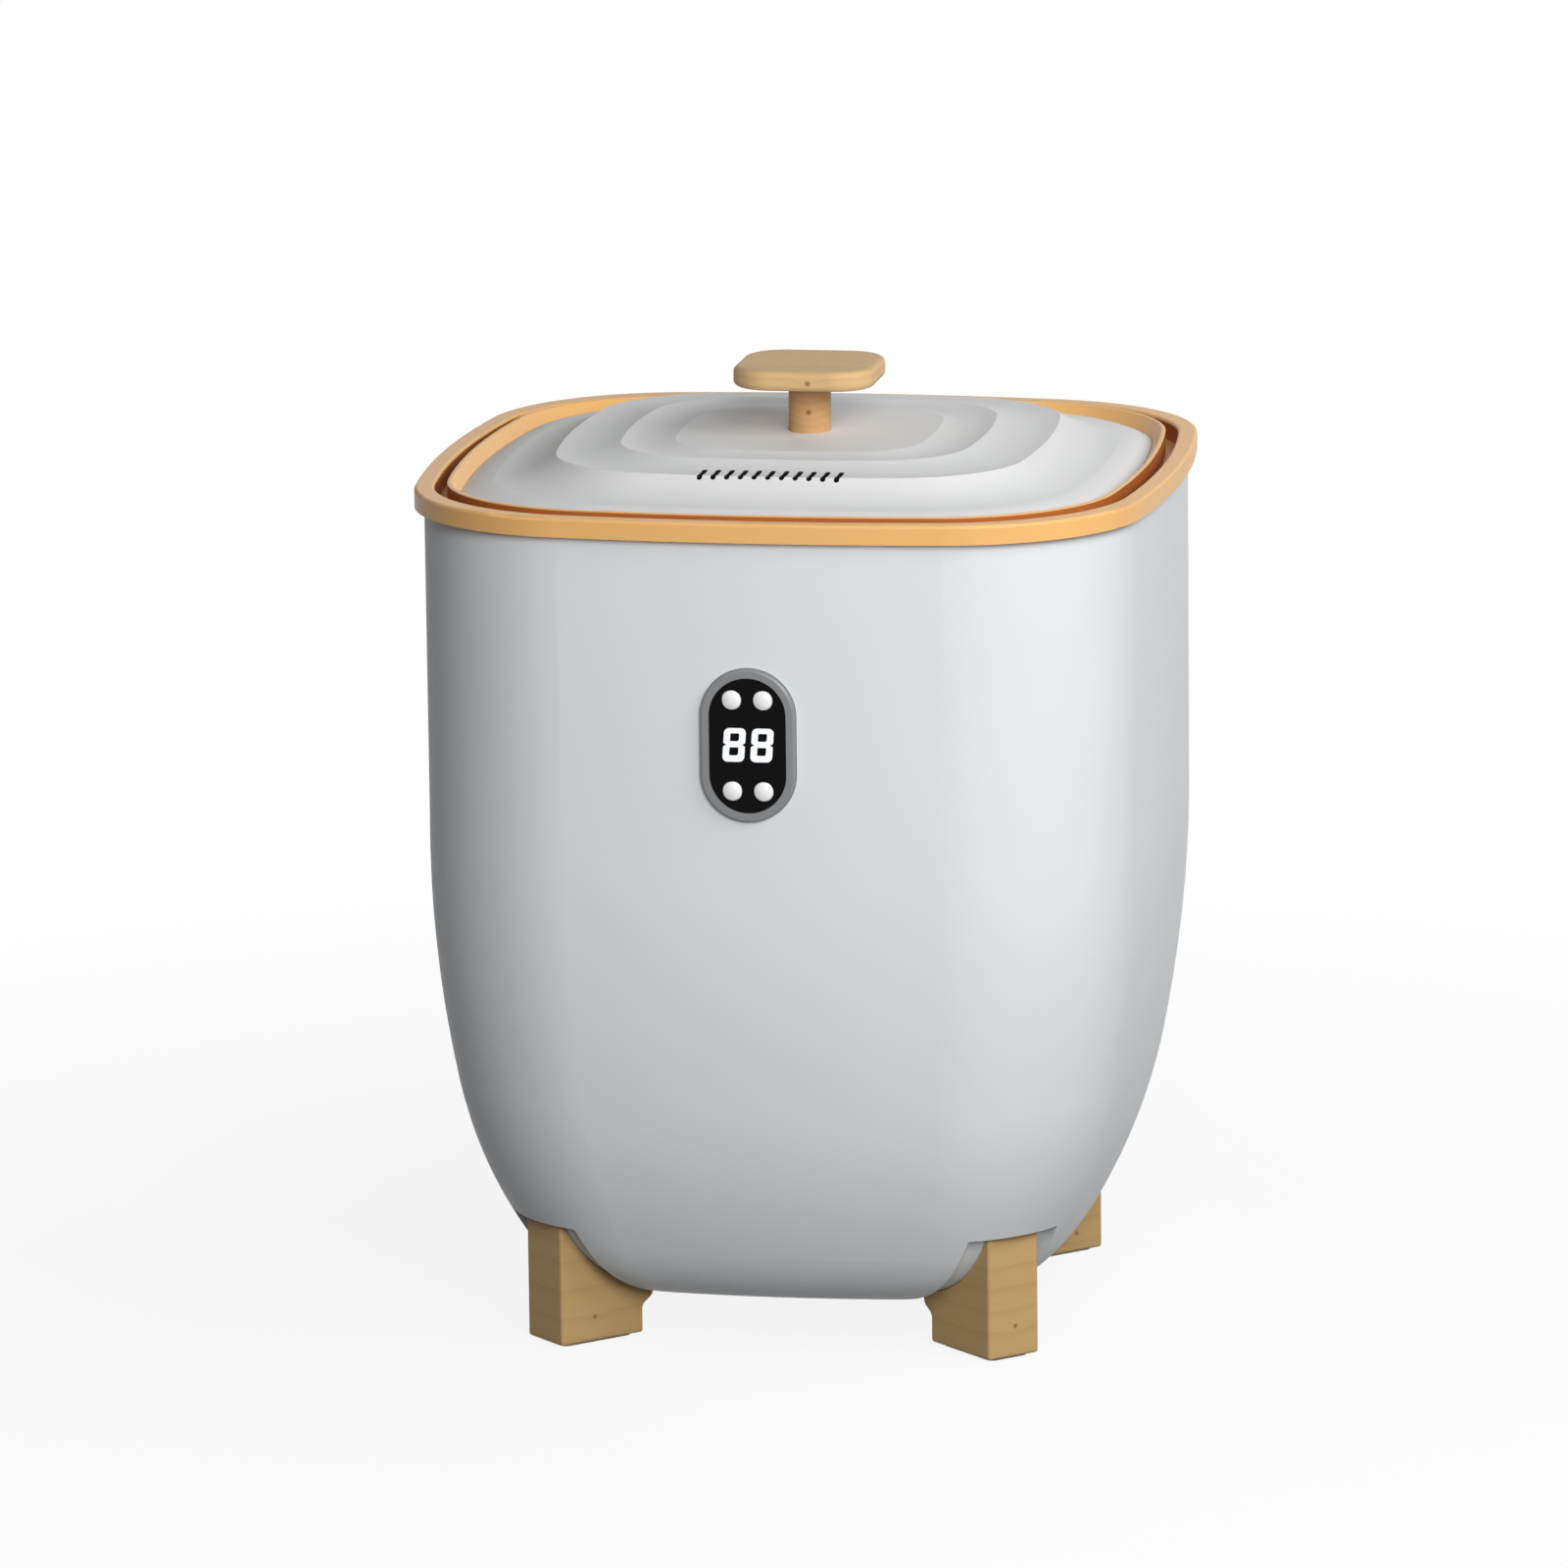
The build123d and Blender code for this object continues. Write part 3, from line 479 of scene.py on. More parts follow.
@dataclass(frozen=True)
class Gutter:
    """The groove between the lid's frame and the rim ring, with shade painted into its walls' colour,
    millimetres.

    Attributes:
        lid: box of the lid's frame.
        ring: box of the rim ring.
        width: of the groove.
        into_lid: how far the painted shade reaches into the frame's wall.
        into_ring: how far it reaches into the ring's wall.
        corner: half the width of the square that the rounded corners grow from.
        bow: length that the sides' bulge follows from.
        lid_drop: from the frame's top to where the painted shadow starts on it.
        ring_drop: from the ring's top to where it starts on it.
        floor_rise: from the frame's bottom to where the painted shadow ends.
        fade: height over which the painted shadow deepens.
        shadow: painted shade colour down in the groove.
    """

    lid: Extent = Extent.of("lid_frame")
    ring: Extent = Extent.of("rim_ring")
    width: float = 5.0
    into_lid: float = 1.4
    into_ring: float = 2.3
    corner: float = 94.5
    bow: float = 1305.0
    lid_drop: float = 0.1
    ring_drop: float = 1.0
    floor_rise: float = 0.5
    fade: float = 0.6
    shadow: RGB = (0.42, 0.125, 0.027)

    def reach(self, graph: Graph, axes: bpy.types.bpy_prop_collection) -> Socket:
        """Half the width of the rounded square through a point.

        Args:
            graph: graph that gets the nodes.
            axes: the point's X, Y and Z.

        Returns:
            The half width, metres.
        """
        spans = [graph.math("ABSOLUTE", axes[axis]) for axis in ("X", "Y")]
        past = []
        for own, other in (spans, reversed(spans)):
            bulge = graph.math("DIVIDE", graph.math("POWER", other, 2.0), self.bow * MM)
            beyond = graph.math("SUBTRACT", graph.math("ADD", own, bulge), self.corner * MM)
            past.append(graph.math("POWER", graph.math("MAXIMUM", beyond, 0.0), 2.0))
        return graph.math("ADD", graph.math("SQRT", graph.math("ADD", *past)), self.corner * MM)

    def inside(self, graph: Graph) -> Socket:
        """Mask of the groove's walls, where shade is painted.

        Args:
            graph: the ring material's graph.

        Returns:
            The mask.
        """
        # Painted shade: this mask darkens the groove's walls with depth, standing in for the shadow there.
        axes = graph.node("ShaderNodeSeparateXYZ", {0: graph.place()}).outputs
        reach = self.reach(graph, axes)
        on_ring = graph.math("GREATER_THAN", reach, (self.lid.half + self.width / 2) * MM)
        lid_top, ring_top = self.lid.top - self.lid_drop, self.ring.top - self.ring_drop
        top = graph.scaled(on_ring, lid_top * MM, ring_top * MM)
        depth = graph.math("SUBTRACT", top, axes["Z"])
        mask = graph.scaled(depth, 0.0, 1.0, 0.0, self.fade * MM, "SMOOTHSTEP")
        limits = (
            graph.math("GREATER_THAN", reach, (self.lid.half - self.into_lid) * MM),
            graph.math("LESS_THAN", reach, (self.lid.half + self.width + self.into_ring) * MM),
            graph.math("GREATER_THAN", axes["Z"], (self.lid.bottom + self.floor_rise) * MM),
        )
        for limit in limits:
            mask = graph.math("MULTIPLY", mask, limit)
        return mask


# ---- materials
@dataclass(frozen=True)
class Grain:
    """Figure of one wooden piece.

    Attributes:
        knot: place of its small knot, metres.
        ring: height of one growth ring, metres.
        seed: changes the figure.
        stretch: factors on X, Y and Z that draw the figure out level, with the bands stacked upwards.
        pale: factor on the main colour in its palest blotches.
        late: share of the second colour in the dark wood.
        pores: share of the pores' colour at the two ends of the fine figure.
        pore_tone: factor on the main colour in the pores.
        knot_share: share of the knot's colour in the knot.
        knot_colour: linear RGB.
        late_rise: rise of the dark wood in the relief, as a share of the fine figure's.
    """

    knot: Point
    ring: float
    seed: float
    stretch: Point = (0.12, 0.12, 1.0)
    pale: float = 1.24
    late: float = 0.34
    pores: tuple[float, float] = (-0.10, 0.16)
    pore_tone: float = 0.55
    knot_share: float = 0.75
    knot_colour: RGB = (0.20, 0.08, 0.03)
    late_rise: float = 0.6


@dataclass
class Palette:
    """Makes each material once and hands it out.

    Attributes:
        speckle: shared fine-texture group.
        timber: shared wood-figure group.
        made: materials by name.
        brush: factors on X, Y and Z that draw brushed lines out level.
    """

    speckle: Tree = field(default_factory=speckle_group)
    timber: Tree = field(default_factory=timber_group)
    made: dict[str, Material] = field(default_factory=dict)
    brush: Point = (0.04, 0.04, 1.0)

    def start(self, name: str, finish: Finish) -> tuple[Material, Graph, Node]:
        """Starts a material with its shader joined to its output.

        Args:
            name: name of the material.
            finish: what it looks like.

        Returns:
            The material, its graph and its Principled shader.
        """
        material = bpy.data.materials.new(name)
        material.use_nodes = True
        graph = Graph(material.node_tree)
        inputs = {"Specular IOR Level": finish.specular, "Sheen Weight": finish.sheen}
        if finish.glow:
            inputs.update({"Emission Color": rgba(finish.glow_colour), "Emission Strength": finish.glow})
        shader = graph.node("ShaderNodeBsdfPrincipled", inputs)
        graph.node("ShaderNodeOutputMaterial", {"Surface": shader.outputs[0]})
        material.diffuse_color = rgba(finish.colour)
        return material, graph, shader

    def texture(self, graph: Graph, finish: Finish) -> bpy.types.bpy_prop_collection:
        """Adds the shared fine texture in a finish's size, and gives its outputs."""
        return graph.node("ShaderNodeGroup", node_tree=self.speckle, inputs={"Grain": finish.grain}).outputs

    def surface(
        self, graph: Graph, shader: Node, finish: Finish, colour: Socket, rough: Socket, height: Socket
    ) -> None:
        """Joins a shader to what varies over its surface.

        Args:
            graph: the material's graph.
            shader: its shader.
            finish: range of the roughness and depth of the texture.
            colour: colour of the surface.
            rough: socket between 0 and 1, for the roughness.
            height: socket that follows the relief.
        """
        low = finish.roughness - finish.spread
        high = finish.roughness + finish.spread
        bump = graph.node("ShaderNodeBump", {"Strength": 1.0, "Distance": finish.relief, "Height": height})
        graph.feed(shader.inputs["Base Color"], colour)
        graph.feed(shader.inputs["Roughness"], graph.scaled(rough, low, high))
        graph.feed(shader.inputs["Normal"], bump.outputs["Normal"])

    def moulded(self, name: str, finish: Finish, painted_shade: Vents | Gutter | None = None) -> Material:
        """Plastic, rubber or felt with a fine grain.

        Args:
            name: name of the material.
            finish: what it looks like.
            painted_shade: the recess whose deep shadow is painted into the colour.

        Returns:
            The material.
        """
        material, graph, shader = self.start(name, finish)
        texture = self.texture(graph, finish)
        colour = graph.mix(texture["Cloud"], rgba(finish.colour), rgba(finish.shade))
        # Painted shade: a dark shadow colour mixed in where the recess mask is set.
        if painted_shade:
            colour = graph.mix(painted_shade.inside(graph), colour, rgba(painted_shade.shadow))
        self.surface(graph, shader, finish, colour, texture["Dust"], texture["Fine"])
        return material

    def brushed(self, name: str, finish: Finish) -> Material:
        """Metal with fine lines that run level round the piece.

        Args:
            name: name of the material.
            finish: what it looks like.

        Returns:
            The material.
        """
        material, graph, shader = self.start(name, finish)
        shader.inputs["Metallic"].default_value = 1.0
        drawn = graph.node("ShaderNodeMapping", {"Vector": graph.place(), "Scale": self.brush}).outputs[0]
        lines = graph.noise(drawn, scale=1.0 / finish.grain, detail=4.0, roughness=0.65)
        cloud = self.texture(graph, finish)["Cloud"]
        colour = graph.mix(cloud, rgba(finish.colour), rgba(finish.shade))
        self.surface(graph, shader, finish, colour, lines, lines)
        return material

    def wood(self, name: str, finish: Finish, grain: Grain) -> Material:
        """Clear-sealed light timber.

        Args:
            name: name of the material.
            finish: what it looks like.
            grain: its figure.

        Returns:
            The material.
        """
        material, graph, shader = self.start(name, finish)
        inputs = {"Stretch": grain.stretch, "Knot": grain.knot, "Ring": grain.ring, "Seed": grain.seed}
        figure = graph.node("ShaderNodeGroup", node_tree=self.timber, inputs=inputs).outputs
        colour = graph.mix(figure["Blotch"], rgba(finish.colour), rgba(finish.colour, grain.pale))
        late = graph.math("MULTIPLY", figure["Late"], grain.late)
        colour = graph.mix(late, colour, rgba(finish.shade))
        pores = graph.scaled(figure["Pore"], *grain.pores)
        colour = graph.mix(pores, colour, rgba(finish.colour, grain.pore_tone))
        knot = graph.math("MULTIPLY", figure["Knot"], grain.knot_share)
        colour = graph.mix(knot, colour, rgba(grain.knot_colour))
        height = graph.math("ADD", figure["Pore"], graph.math("MULTIPLY", figure["Late"], grain.late_rise))
        self.surface(graph, shader, finish, colour, figure["Pore"], height)
        return material

    def of(self, slot: Slot) -> Material:
        """Material of a slot that has only one.

        Args:
            slot: the record's slot.

        Returns:
            The material, made at the first call.
        """
        if slot.value not in self.made:
            finish = FINISHES[slot]
            recipes = {Surface.MOULDED: self.moulded, Surface.BRUSHED: self.brushed}
            self.made[slot.value] = recipes[finish.surface](slot.value, finish)
        return self.made[slot.value]


# ---- carried-over nodes
# Place of the small knot on each wooden piece, millimetres.
KNOTS = {
    "leg_front_left": (-78.0, -95.0, 11.5),
    "leg_front_right": (99.0, -98.0, 14.0),
    "leg_back_left": (-95.0, 78.0, 24.0),
    "leg_back_right": (97.0, 80.0, 9.0),
    "knob_plate": (4.0, -28.4, 392.4),
    "knob_stem": (1.0, -8.8, 377.0),
}
# Factors on red, green and blue for the wooden pieces that differ from the legs.
TINTS = {"knob_plate": (1.20, 1.22, 1.37), "knob_stem": (1.02, 0.90, 0.95)}


def assign(piece: Object, material: Material) -> None:
    """Puts one material on a piece.

    Args:
        piece: mesh object.
        material: what it gets.
    """
    if not piece.data.materials:
        piece.data.materials.append(material)
    for slot in piece.material_slots:
        slot.material = material


def dress_wood(palette: Palette) -> None:
    """Gives each wooden node its own figure.

    Args:
        palette: maker of the materials.
    """
    leg_ring, knob_ring = 0.0098, 0.0034
    first_seed, seed_step = 3.7, 5.3
    finish = FINISHES[Slot.WOOD]
    for index, (node, knot) in enumerate(KNOTS.items()):
        tint = TINTS.get(node, (1.0, 1.0, 1.0))
        colour, shade = (tuple(map(operator.mul, tint, tone)) for tone in (finish.colour, finish.shade))
        ring = leg_ring if node.startswith("leg") else knob_ring
        place = tuple(value * MM for value in knot)
        grain = Grain(place, ring, first_seed + seed_step * index)
        tinted = replace(finish, colour=colour, shade=shade)
        assign(frame["nodes"][node], palette.wood("wood_" + node, tinted, grain))


def dress_nodes(palette: Palette) -> None:
    """Gives every carried-over node the material of its slot.

    Args:
        palette: maker of the materials.
    """
    for row in frame["record"]["subparts"]:
        slot = Slot(row["material_slot"])
        if slot is not Slot.WOOD:
            assign(frame["nodes"][row["node"]], palette.of(slot))
    # The vent walls and the groove round the lid get painted shade: a dark colour mixed into their plastic.
    vent_shade = palette.moulded("lid_white_vent_shade", FINISHES[Slot.LID], Vents())
    assign(frame["nodes"]["lid_cover"], vent_shade)
    groove_shade = palette.moulded("rim_tan_groove_shade", FINISHES[Slot.RIM], Gutter())
    for node in ("rim_ring", "lid_frame"):
        assign(frame["nodes"][node], groove_shade)
    dress_wood(palette)


# ---- meshes
def add_object(name: str, data: bpy.types.ID) -> Object:
    """Makes an object and links it to the scene.

    Args:
        name: its name.
        data: its mesh, curve, lamp or camera.

    Returns:
        The object.
    """
    made = bpy.data.objects.new(name, data)
    bpy.context.scene.collection.objects.link(made)
    return made


def finish_piece(name: str, mesh: Mesh, material: Material, slot: Slot, body: str) -> Object:
    """Links a mesh as a piece of the scene.

    Args:
        name: name of the piece.
        mesh: its mesh, in the object's own place.
        material: its material.
        slot: the record's slot; not used.
        body: CAD body that it rides on.

    Returns:
        The piece.
    """
    mesh.name = name
    mesh.materials.clear()
    mesh.materials.append(material)
    piece = add_object(name, mesh)
    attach(piece, body)
    return piece


def evaluated_mesh(holder: Object) -> Mesh:
    """Turns an object into a plain mesh and removes it.

    Args:
        holder: curve, or mesh with its modifiers.

    Returns:
        The mesh.
    """
    bpy.context.view_layer.update()
    mesh = bpy.data.meshes.new_from_object(holder.evaluated_get(bpy.context.evaluated_depsgraph_get()))
    bpy.data.objects.remove(holder)
    return mesh


def flat_mesh(loops: list[Loop], thickness: float, bevel: float) -> Mesh:
    """Plate with holes, in the XY plane, its middle at z = 0.

    Args:
        loops: outer edge and holes, each a closed run of points, millimetres.
        thickness: of the plate, millimetres.
        bevel: radius of its edges, millimetres.

    Returns:
        The mesh, in metres.
    """
    curve = bpy.data.curves.new("plate", "CURVE")
    curve.dimensions = "2D"
    curve.fill_mode = "BOTH"
    curve.extrude = (thickness / 2 - bevel) * MM
    curve.bevel_depth = bevel * MM
    curve.bevel_resolution = 2
    for loop in loops:
        spline = curve.splines.new("POLY")
        spline.points.add(len(loop) - 1)
        for point, (x, y) in zip(spline.points, loop):
            point.co = (x * MM, y * MM, 0.0, 1.0)
        spline.use_cyclic_u = True
    mesh = evaluated_mesh(add_object("plate", curve))
    bpy.data.curves.remove(curve)
    return mesh


def circle(radius: float, sides: int) -> Loop:
    """Points round a circle, one for each side of its polygon."""
    turns = [math.tau * side / sides for side in range(sides)]
    return [(radius * math.cos(turn), radius * math.sin(turn)) for turn in turns]


def rounded_loop(corners: list[Point], steps: int = 8) -> Loop:
    """Closed run of points with rounded corners.

    Args:
        corners: x, y and radius of each corner, in order round the loop.
        steps: points on each corner's arc.

    Returns:
        The points.
    """
    points = []
    for index, (x, y, radius) in enumerate(corners):
        here = Vector((x, y))
        back = (Vector(corners[index - 1][:2]) - here).normalized()
        ahead = (Vector(corners[(index + 1) % len(corners)][:2]) - here).normalized()
        half = back.angle(ahead) / 2
        reach = radius / math.tan(half)
        middle = here + (back + ahead).normalized() * (radius / math.sin(half))
        start = here + back * reach - middle
        turn = start.angle_signed(here + ahead * reach - middle)
        for step in range(steps + 1):
            arm = Matrix.Rotation(-turn * step / steps, 2) @ start
            points.append(tuple(middle + arm))
    return points


# ---- display
@dataclass
class Display:
    """Two lit digits on the black face, millimetres.

    Attributes:
        face: box of the black face.
        shift: of the pair from the face's middle, to the right and up.
        width: of one digit.
        height: of one digit.
        pitch: from one digit to the next.
        stroke: width of an upright stroke.
        head: height of the top stroke.
        foot: height of the bottom stroke.
        bar: top and underside of the middle stroke, from the digit's middle.
        waist: depth of the notch between the loops.
        notch: half the height of its mouth.
        corner: radius of the outer corners.
        waist_radii: of the notch's corners, from the top down.
        upper_radii: of the upper hole's corners, clockwise from the top left.
        lower_radii: of the lower hole's corners, in the same order.
        lean: slope of the digits to the right.
        proud: how far they stand off the face.
        edge: radius of their front edges.
    """

    face: Extent = Extent.of("panel_lens")
    shift: tuple[float, float] = (0.2, 0.3)
    width: float = 8.9
    height: float = 13.8
    pitch: float = 11.4
    stroke: float = 2.6
    head: float = 2.1
    foot: float = 2.6
    bar: tuple[float, float] = (1.5, -0.95)
    waist: float = 1.9
    notch: float = 0.55
    corner: float = 2.1
    waist_radii: Point = (0.9, 0.3, 0.7)
    upper_radii: tuple[float, ...] = (0.5, 0.5, 1.0, 0.3)
    lower_radii: tuple[float, ...] = (0.3, 0.4, 0.9, 0.4)
    lean: float = 0.075
    proud: float = 0.12
    edge: float = 0.03

    def box(self, side: float, top: float, bottom: float, radii: tuple[float, ...]) -> Loop:
        """Box about the digit's upright middle, its side half its width, its radii from the top left."""
        corners = ((-side, top), (side, top), (side, bottom), (-side, bottom))
        return rounded_loop([(x, y, radius) for (x, y), radius in zip(corners, radii)])

    def digit(self) -> list[Loop]:
        """Outline of one digit and its two holes, leaning, with its middle at zero.

        Returns:
            The loops.
        """
        half, top = self.width / 2, self.height / 2
        places = ((half, self.notch), (half - self.waist, 0.0), (half, -self.notch))
        right = [(x, y, radius) for (x, y), radius in zip(places, self.waist_radii)]
        left = [(-x, y, radius) for x, y, radius in reversed(right)]
        head = [(-half, top, self.corner), (half, top, self.corner)]
        foot = [(half, -top, self.corner), (-half, -top, self.corner)]
        hole = half - self.stroke
        loops = (
            rounded_loop(head + right + foot + left),
            self.box(hole, top - self.head, self.bar[0], self.upper_radii),
            self.box(hole, self.bar[1], self.foot - top, self.lower_radii),
        )
        return [[(x + self.lean * y, y) for x, y in loop] for loop in loops]

    def build(self, palette: Palette) -> Object:
        """Makes the pair of digits.

        Args:
            palette: maker of the materials.

        Returns:
            The piece.
        """
        loops = []
        for side in (-0.5, 0.5):
            loops += [[(x + side * self.pitch, y) for x, y in loop] for loop in self.digit()]
        mesh = flat_mesh(loops, self.proud, self.edge)
        upright = Matrix.Rotation(math.radians(90), 4, "X")
        right, up = self.shift
        place = Vector((right, self.face.front - self.proud / 2, self.face.level + up)) * MM
        mesh.transform(Matrix.Translation(place) @ upright)
        return finish_piece(
            "display_digits", mesh, palette.moulded("display_glow", DISPLAY_GLOW), Slot.BUTTON, "housing"
        )


# ---- screws
class Spread(Enum):
    """Ways in which four screws lie round the middle, as their directions on X and Y."""

    ON_AXES = ((1, 0), (0, 1), (-1, 0), (0, -1))
    ON_CORNERS = ((-1, -1), (-1, 1), (1, -1), (1, 1))


@dataclass
class Screws:
    """Cross-recessed pan-head screws that stand for one node, their heads down, millimetres.

    Attributes:
        node: node that they replace.
        body: body that they ride on.
        spread: how they lie round the middle.
        shank: radius of the shank.
        head: radius of the head.
        head_height: height of the head.
        cut: share of the head's height that the cross cuts into.
        edge: radius of the head's edge.
        recess: reach of the cross from the middle.
        slot_width: width of the cross's arms.
        pitch: from one crest of the thread to the next.
        root: radius between the crests, as a share of the shank's.
        tip: radius of the shank's end, as a share of the shank's.
        run_out: from the last crest to the end, in pitches.
        head_sides: sides of the head.
        shank_sides: sides of the shank.
    """

    node: str
    body: str
    spread: Spread
    shank: float = 1.4
    head: float = 2.7
    head_height: float = 1.8
    cut: float = 0.62
    edge: float = 0.25
    recess: float = 1.5
    slot_width: float = 0.62
    pitch: float = 0.9
    root: float = 0.76
    tip: float = 0.5
    run_out: float = 0.6
    head_sides: int = 40
    shank_sides: int = 20

    def one(self, length: float) -> Mesh:
        """One screw, its head down, the underside of its head at zero.

        Args:
            length: of the shank.

        Returns:
            The mesh, in metres.
        """
        arm, wide = self.recess, self.slot_width / 2
        cross = [
            (arm, wide), (wide, wide), (wide, arm), (-wide, arm), (-wide, wide), (-arm, wide),
            (-arm, -wide), (-wide, -wide), (-wide, -arm), (wide, -arm), (wide, -wide), (arm, -wide),
        ]
        rim_height = self.head_height * self.cut
        base_height = self.head_height - rim_height
        rim = flat_mesh([circle(self.head, self.head_sides), cross], rim_height, self.edge)
        rim.transform(Matrix.Translation((0, 0, (rim_height / 2 - self.head_height) * MM)))
        whole = bmesh.new()
        whole.from_mesh(rim)
        bmesh.ops.create_cone(
            whole,
            cap_ends=True,
            segments=self.head_sides,
            radius1=self.head * MM,
            radius2=self.head * MM,
            depth=base_height * MM,
            matrix=Matrix.Translation((0, 0, -base_height / 2 * MM)),
        )
        self.thread(whole, length)
        mesh = bpy.data.meshes.new("screw")
        bmesh.ops.recalc_face_normals(whole, faces=whole.faces)
        whole.to_mesh(mesh)
        whole.free()
        bpy.data.meshes.remove(rim)
        return mesh

    def thread(self, whole: bmesh.types.BMesh, length: float) -> None:
        """Adds the shank with the crests and roots of its thread.

        Args:
            whole: mesh that gets them.
            length: of the shank.
        """
        rows = []
        height = 0.0
        while height < length - self.pitch:
            rows += [(height, self.shank), (height + self.pitch / 2, self.shank * self.root)]
            height += self.pitch
        rows += [(length - self.pitch * self.run_out, self.shank), (length, self.shank * self.tip)]
        rings = [
            [whole.verts.new((x * MM, y * MM, height * MM)) for x, y in circle(radius, self.shank_sides)]
            for height, radius in rows
        ]
        for lower, upper in zip(rings, rings[1:]):
            for i in range(self.shank_sides):
                after = (i + 1) % self.shank_sides
                whole.faces.new((lower[i], lower[after], upper[after], upper[i]))
        whole.faces.new(rings[-1])
        whole.faces.new(list(reversed(rings[0])))

    def build(self, palette: Palette) -> Object:
        """Sets the screws at the places of their node with a Geometry Nodes tree.

        Args:
            palette: maker of the materials.

        Returns:
            The piece.
        """
        box = Extent.of(self.node)
        reach = box.half - self.head
        under_head = box.bottom + self.head_height
        places = [Vector((reach * x, reach * y, under_head)) * MM for x, y in self.spread.value]
        material = palette.of(Slot.STEEL)
        stamp = add_object("screw_stamp", self.one(box.top - under_head))
        points = bpy.data.meshes.new("screw_points")
        points.from_pydata(places, [], [])
        holder = add_object("screw_points", points)
        modifier = holder.modifiers.new("stamp", "NODES")
        modifier.node_group = stamp_tree()
        wanted = {"Stamp": stamp, "Material": material}
        for item in modifier.node_group.interface.items_tree:
            if item.in_out == "INPUT" and item.name in wanted:
                modifier[item.identifier] = wanted[item.name]
        mesh = evaluated_mesh(holder)
        bpy.data.objects.remove(stamp)
        piece = finish_piece(self.node + "_detail", mesh, material, Slot.STEEL, self.body)
        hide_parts(self.node)
        return piece


def stamp_tree(seed: int = 11) -> Tree:
    """Tree that sets one object at every point, each turned by its own amount.

    Args:
        seed: of the turns.

    Returns:
        The tree, made at the first call.
    """
    known = bpy.data.node_groups.get("StampOnPoints")
    if known:
        return known
    tree = bpy.data.node_groups.new("StampOnPoints", "GeometryNodeTree")
    tree.interface.new_socket("Geometry", in_out="INPUT", socket_type="NodeSocketGeometry")
    tree.interface.new_socket("Stamp", in_out="INPUT", socket_type="NodeSocketObject")
    tree.interface.new_socket("Material", in_out="INPUT", socket_type="NodeSocketMaterial")
    tree.interface.new_socket("Geometry", in_out="OUTPUT", socket_type="NodeSocketGeometry")
    graph = Graph(tree)
    entry = graph.node("NodeGroupInput").outputs
    source = graph.node("GeometryNodeObjectInfo", {"Object": entry["Stamp"]}).outputs["Geometry"]
    turn = graph.node("FunctionNodeRandomValue", {"Seed": seed}, data_type="FLOAT")
    greatest_input, number_output = 3, 1
    turn.inputs[greatest_input].default_value = math.tau
    about = graph.node("ShaderNodeCombineXYZ", {"Z": turn.outputs[number_output]}).outputs[0]
    placed = graph.node(
        "GeometryNodeInstanceOnPoints", {"Points": entry["Geometry"], "Instance": source, "Rotation": about}
    ).outputs["Instances"]
    real = graph.node("GeometryNodeRealizeInstances", {"Geometry": placed}).outputs["Geometry"]
    coloured = graph.node("GeometryNodeSetMaterial", {"Geometry": real, "Material": entry["Material"]})
    graph.node("NodeGroupOutput", {"Geometry": coloured.outputs["Geometry"]})
    return tree


# ---- stage
def direction(azimuth: float, elevation: float) -> Vector:
    """Unit vector towards a turn from the front to +X and a height above level, both in degrees."""
    turn, lift = math.radians(azimuth), math.radians(elevation)
    return Vector((math.sin(turn) * math.cos(lift), -math.cos(turn) * math.cos(lift), math.sin(lift)))


@dataclass(frozen=True)
class Lamp:
    """A square soft box that points at the bucket.

    Attributes:
        name: name of the lamp.
        azimuth: turn from the front towards +X, degrees.
        elevation: height above level, degrees.
        distance: from the lamp to its target, metres.
        level: how bright a white surface that faces the lamp looks, 1 for white.
        size: of its side, metres.
        mirrored: whether glossy surfaces show it.
    """

    name: str
    azimuth: float
    elevation: float
    distance: float
    level: float
    size: float
    mirrored: bool = True

    def build(self, target: Vector) -> None:
        """Adds the lamp.

        Args:
            target: point that it points at, metres.
        """
        data = bpy.data.lights.new(self.name, "AREA")
        data.shape = "SQUARE"
        data.size = self.size
        data.energy = self.level * (math.pi * self.distance) ** 2
        holder = add_object(self.name, data)
        away = direction(self.azimuth, self.elevation)
        turned = away.to_track_quat("Z", "Y").to_matrix().to_4x4()
        holder.matrix_world = Matrix.Translation(target + away * self.distance) @ turned
        holder.visible_glossy = self.mirrored


LAMPS = (
    Lamp("key_right", azimuth=60.0, elevation=34.0, distance=1.5, level=0.38, size=0.7),
    Lamp("key_front", azimuth=21.0, elevation=23.0, distance=2.9, level=0.76, size=1.3),
    Lamp("edge_right", azimuth=108.0, elevation=32.0, distance=1.1, level=0.15, size=0.5),
    Lamp("fill_back", azimuth=178.0, elevation=5.0, distance=2.9, level=0.42, size=0.9, mirrored=False),
)


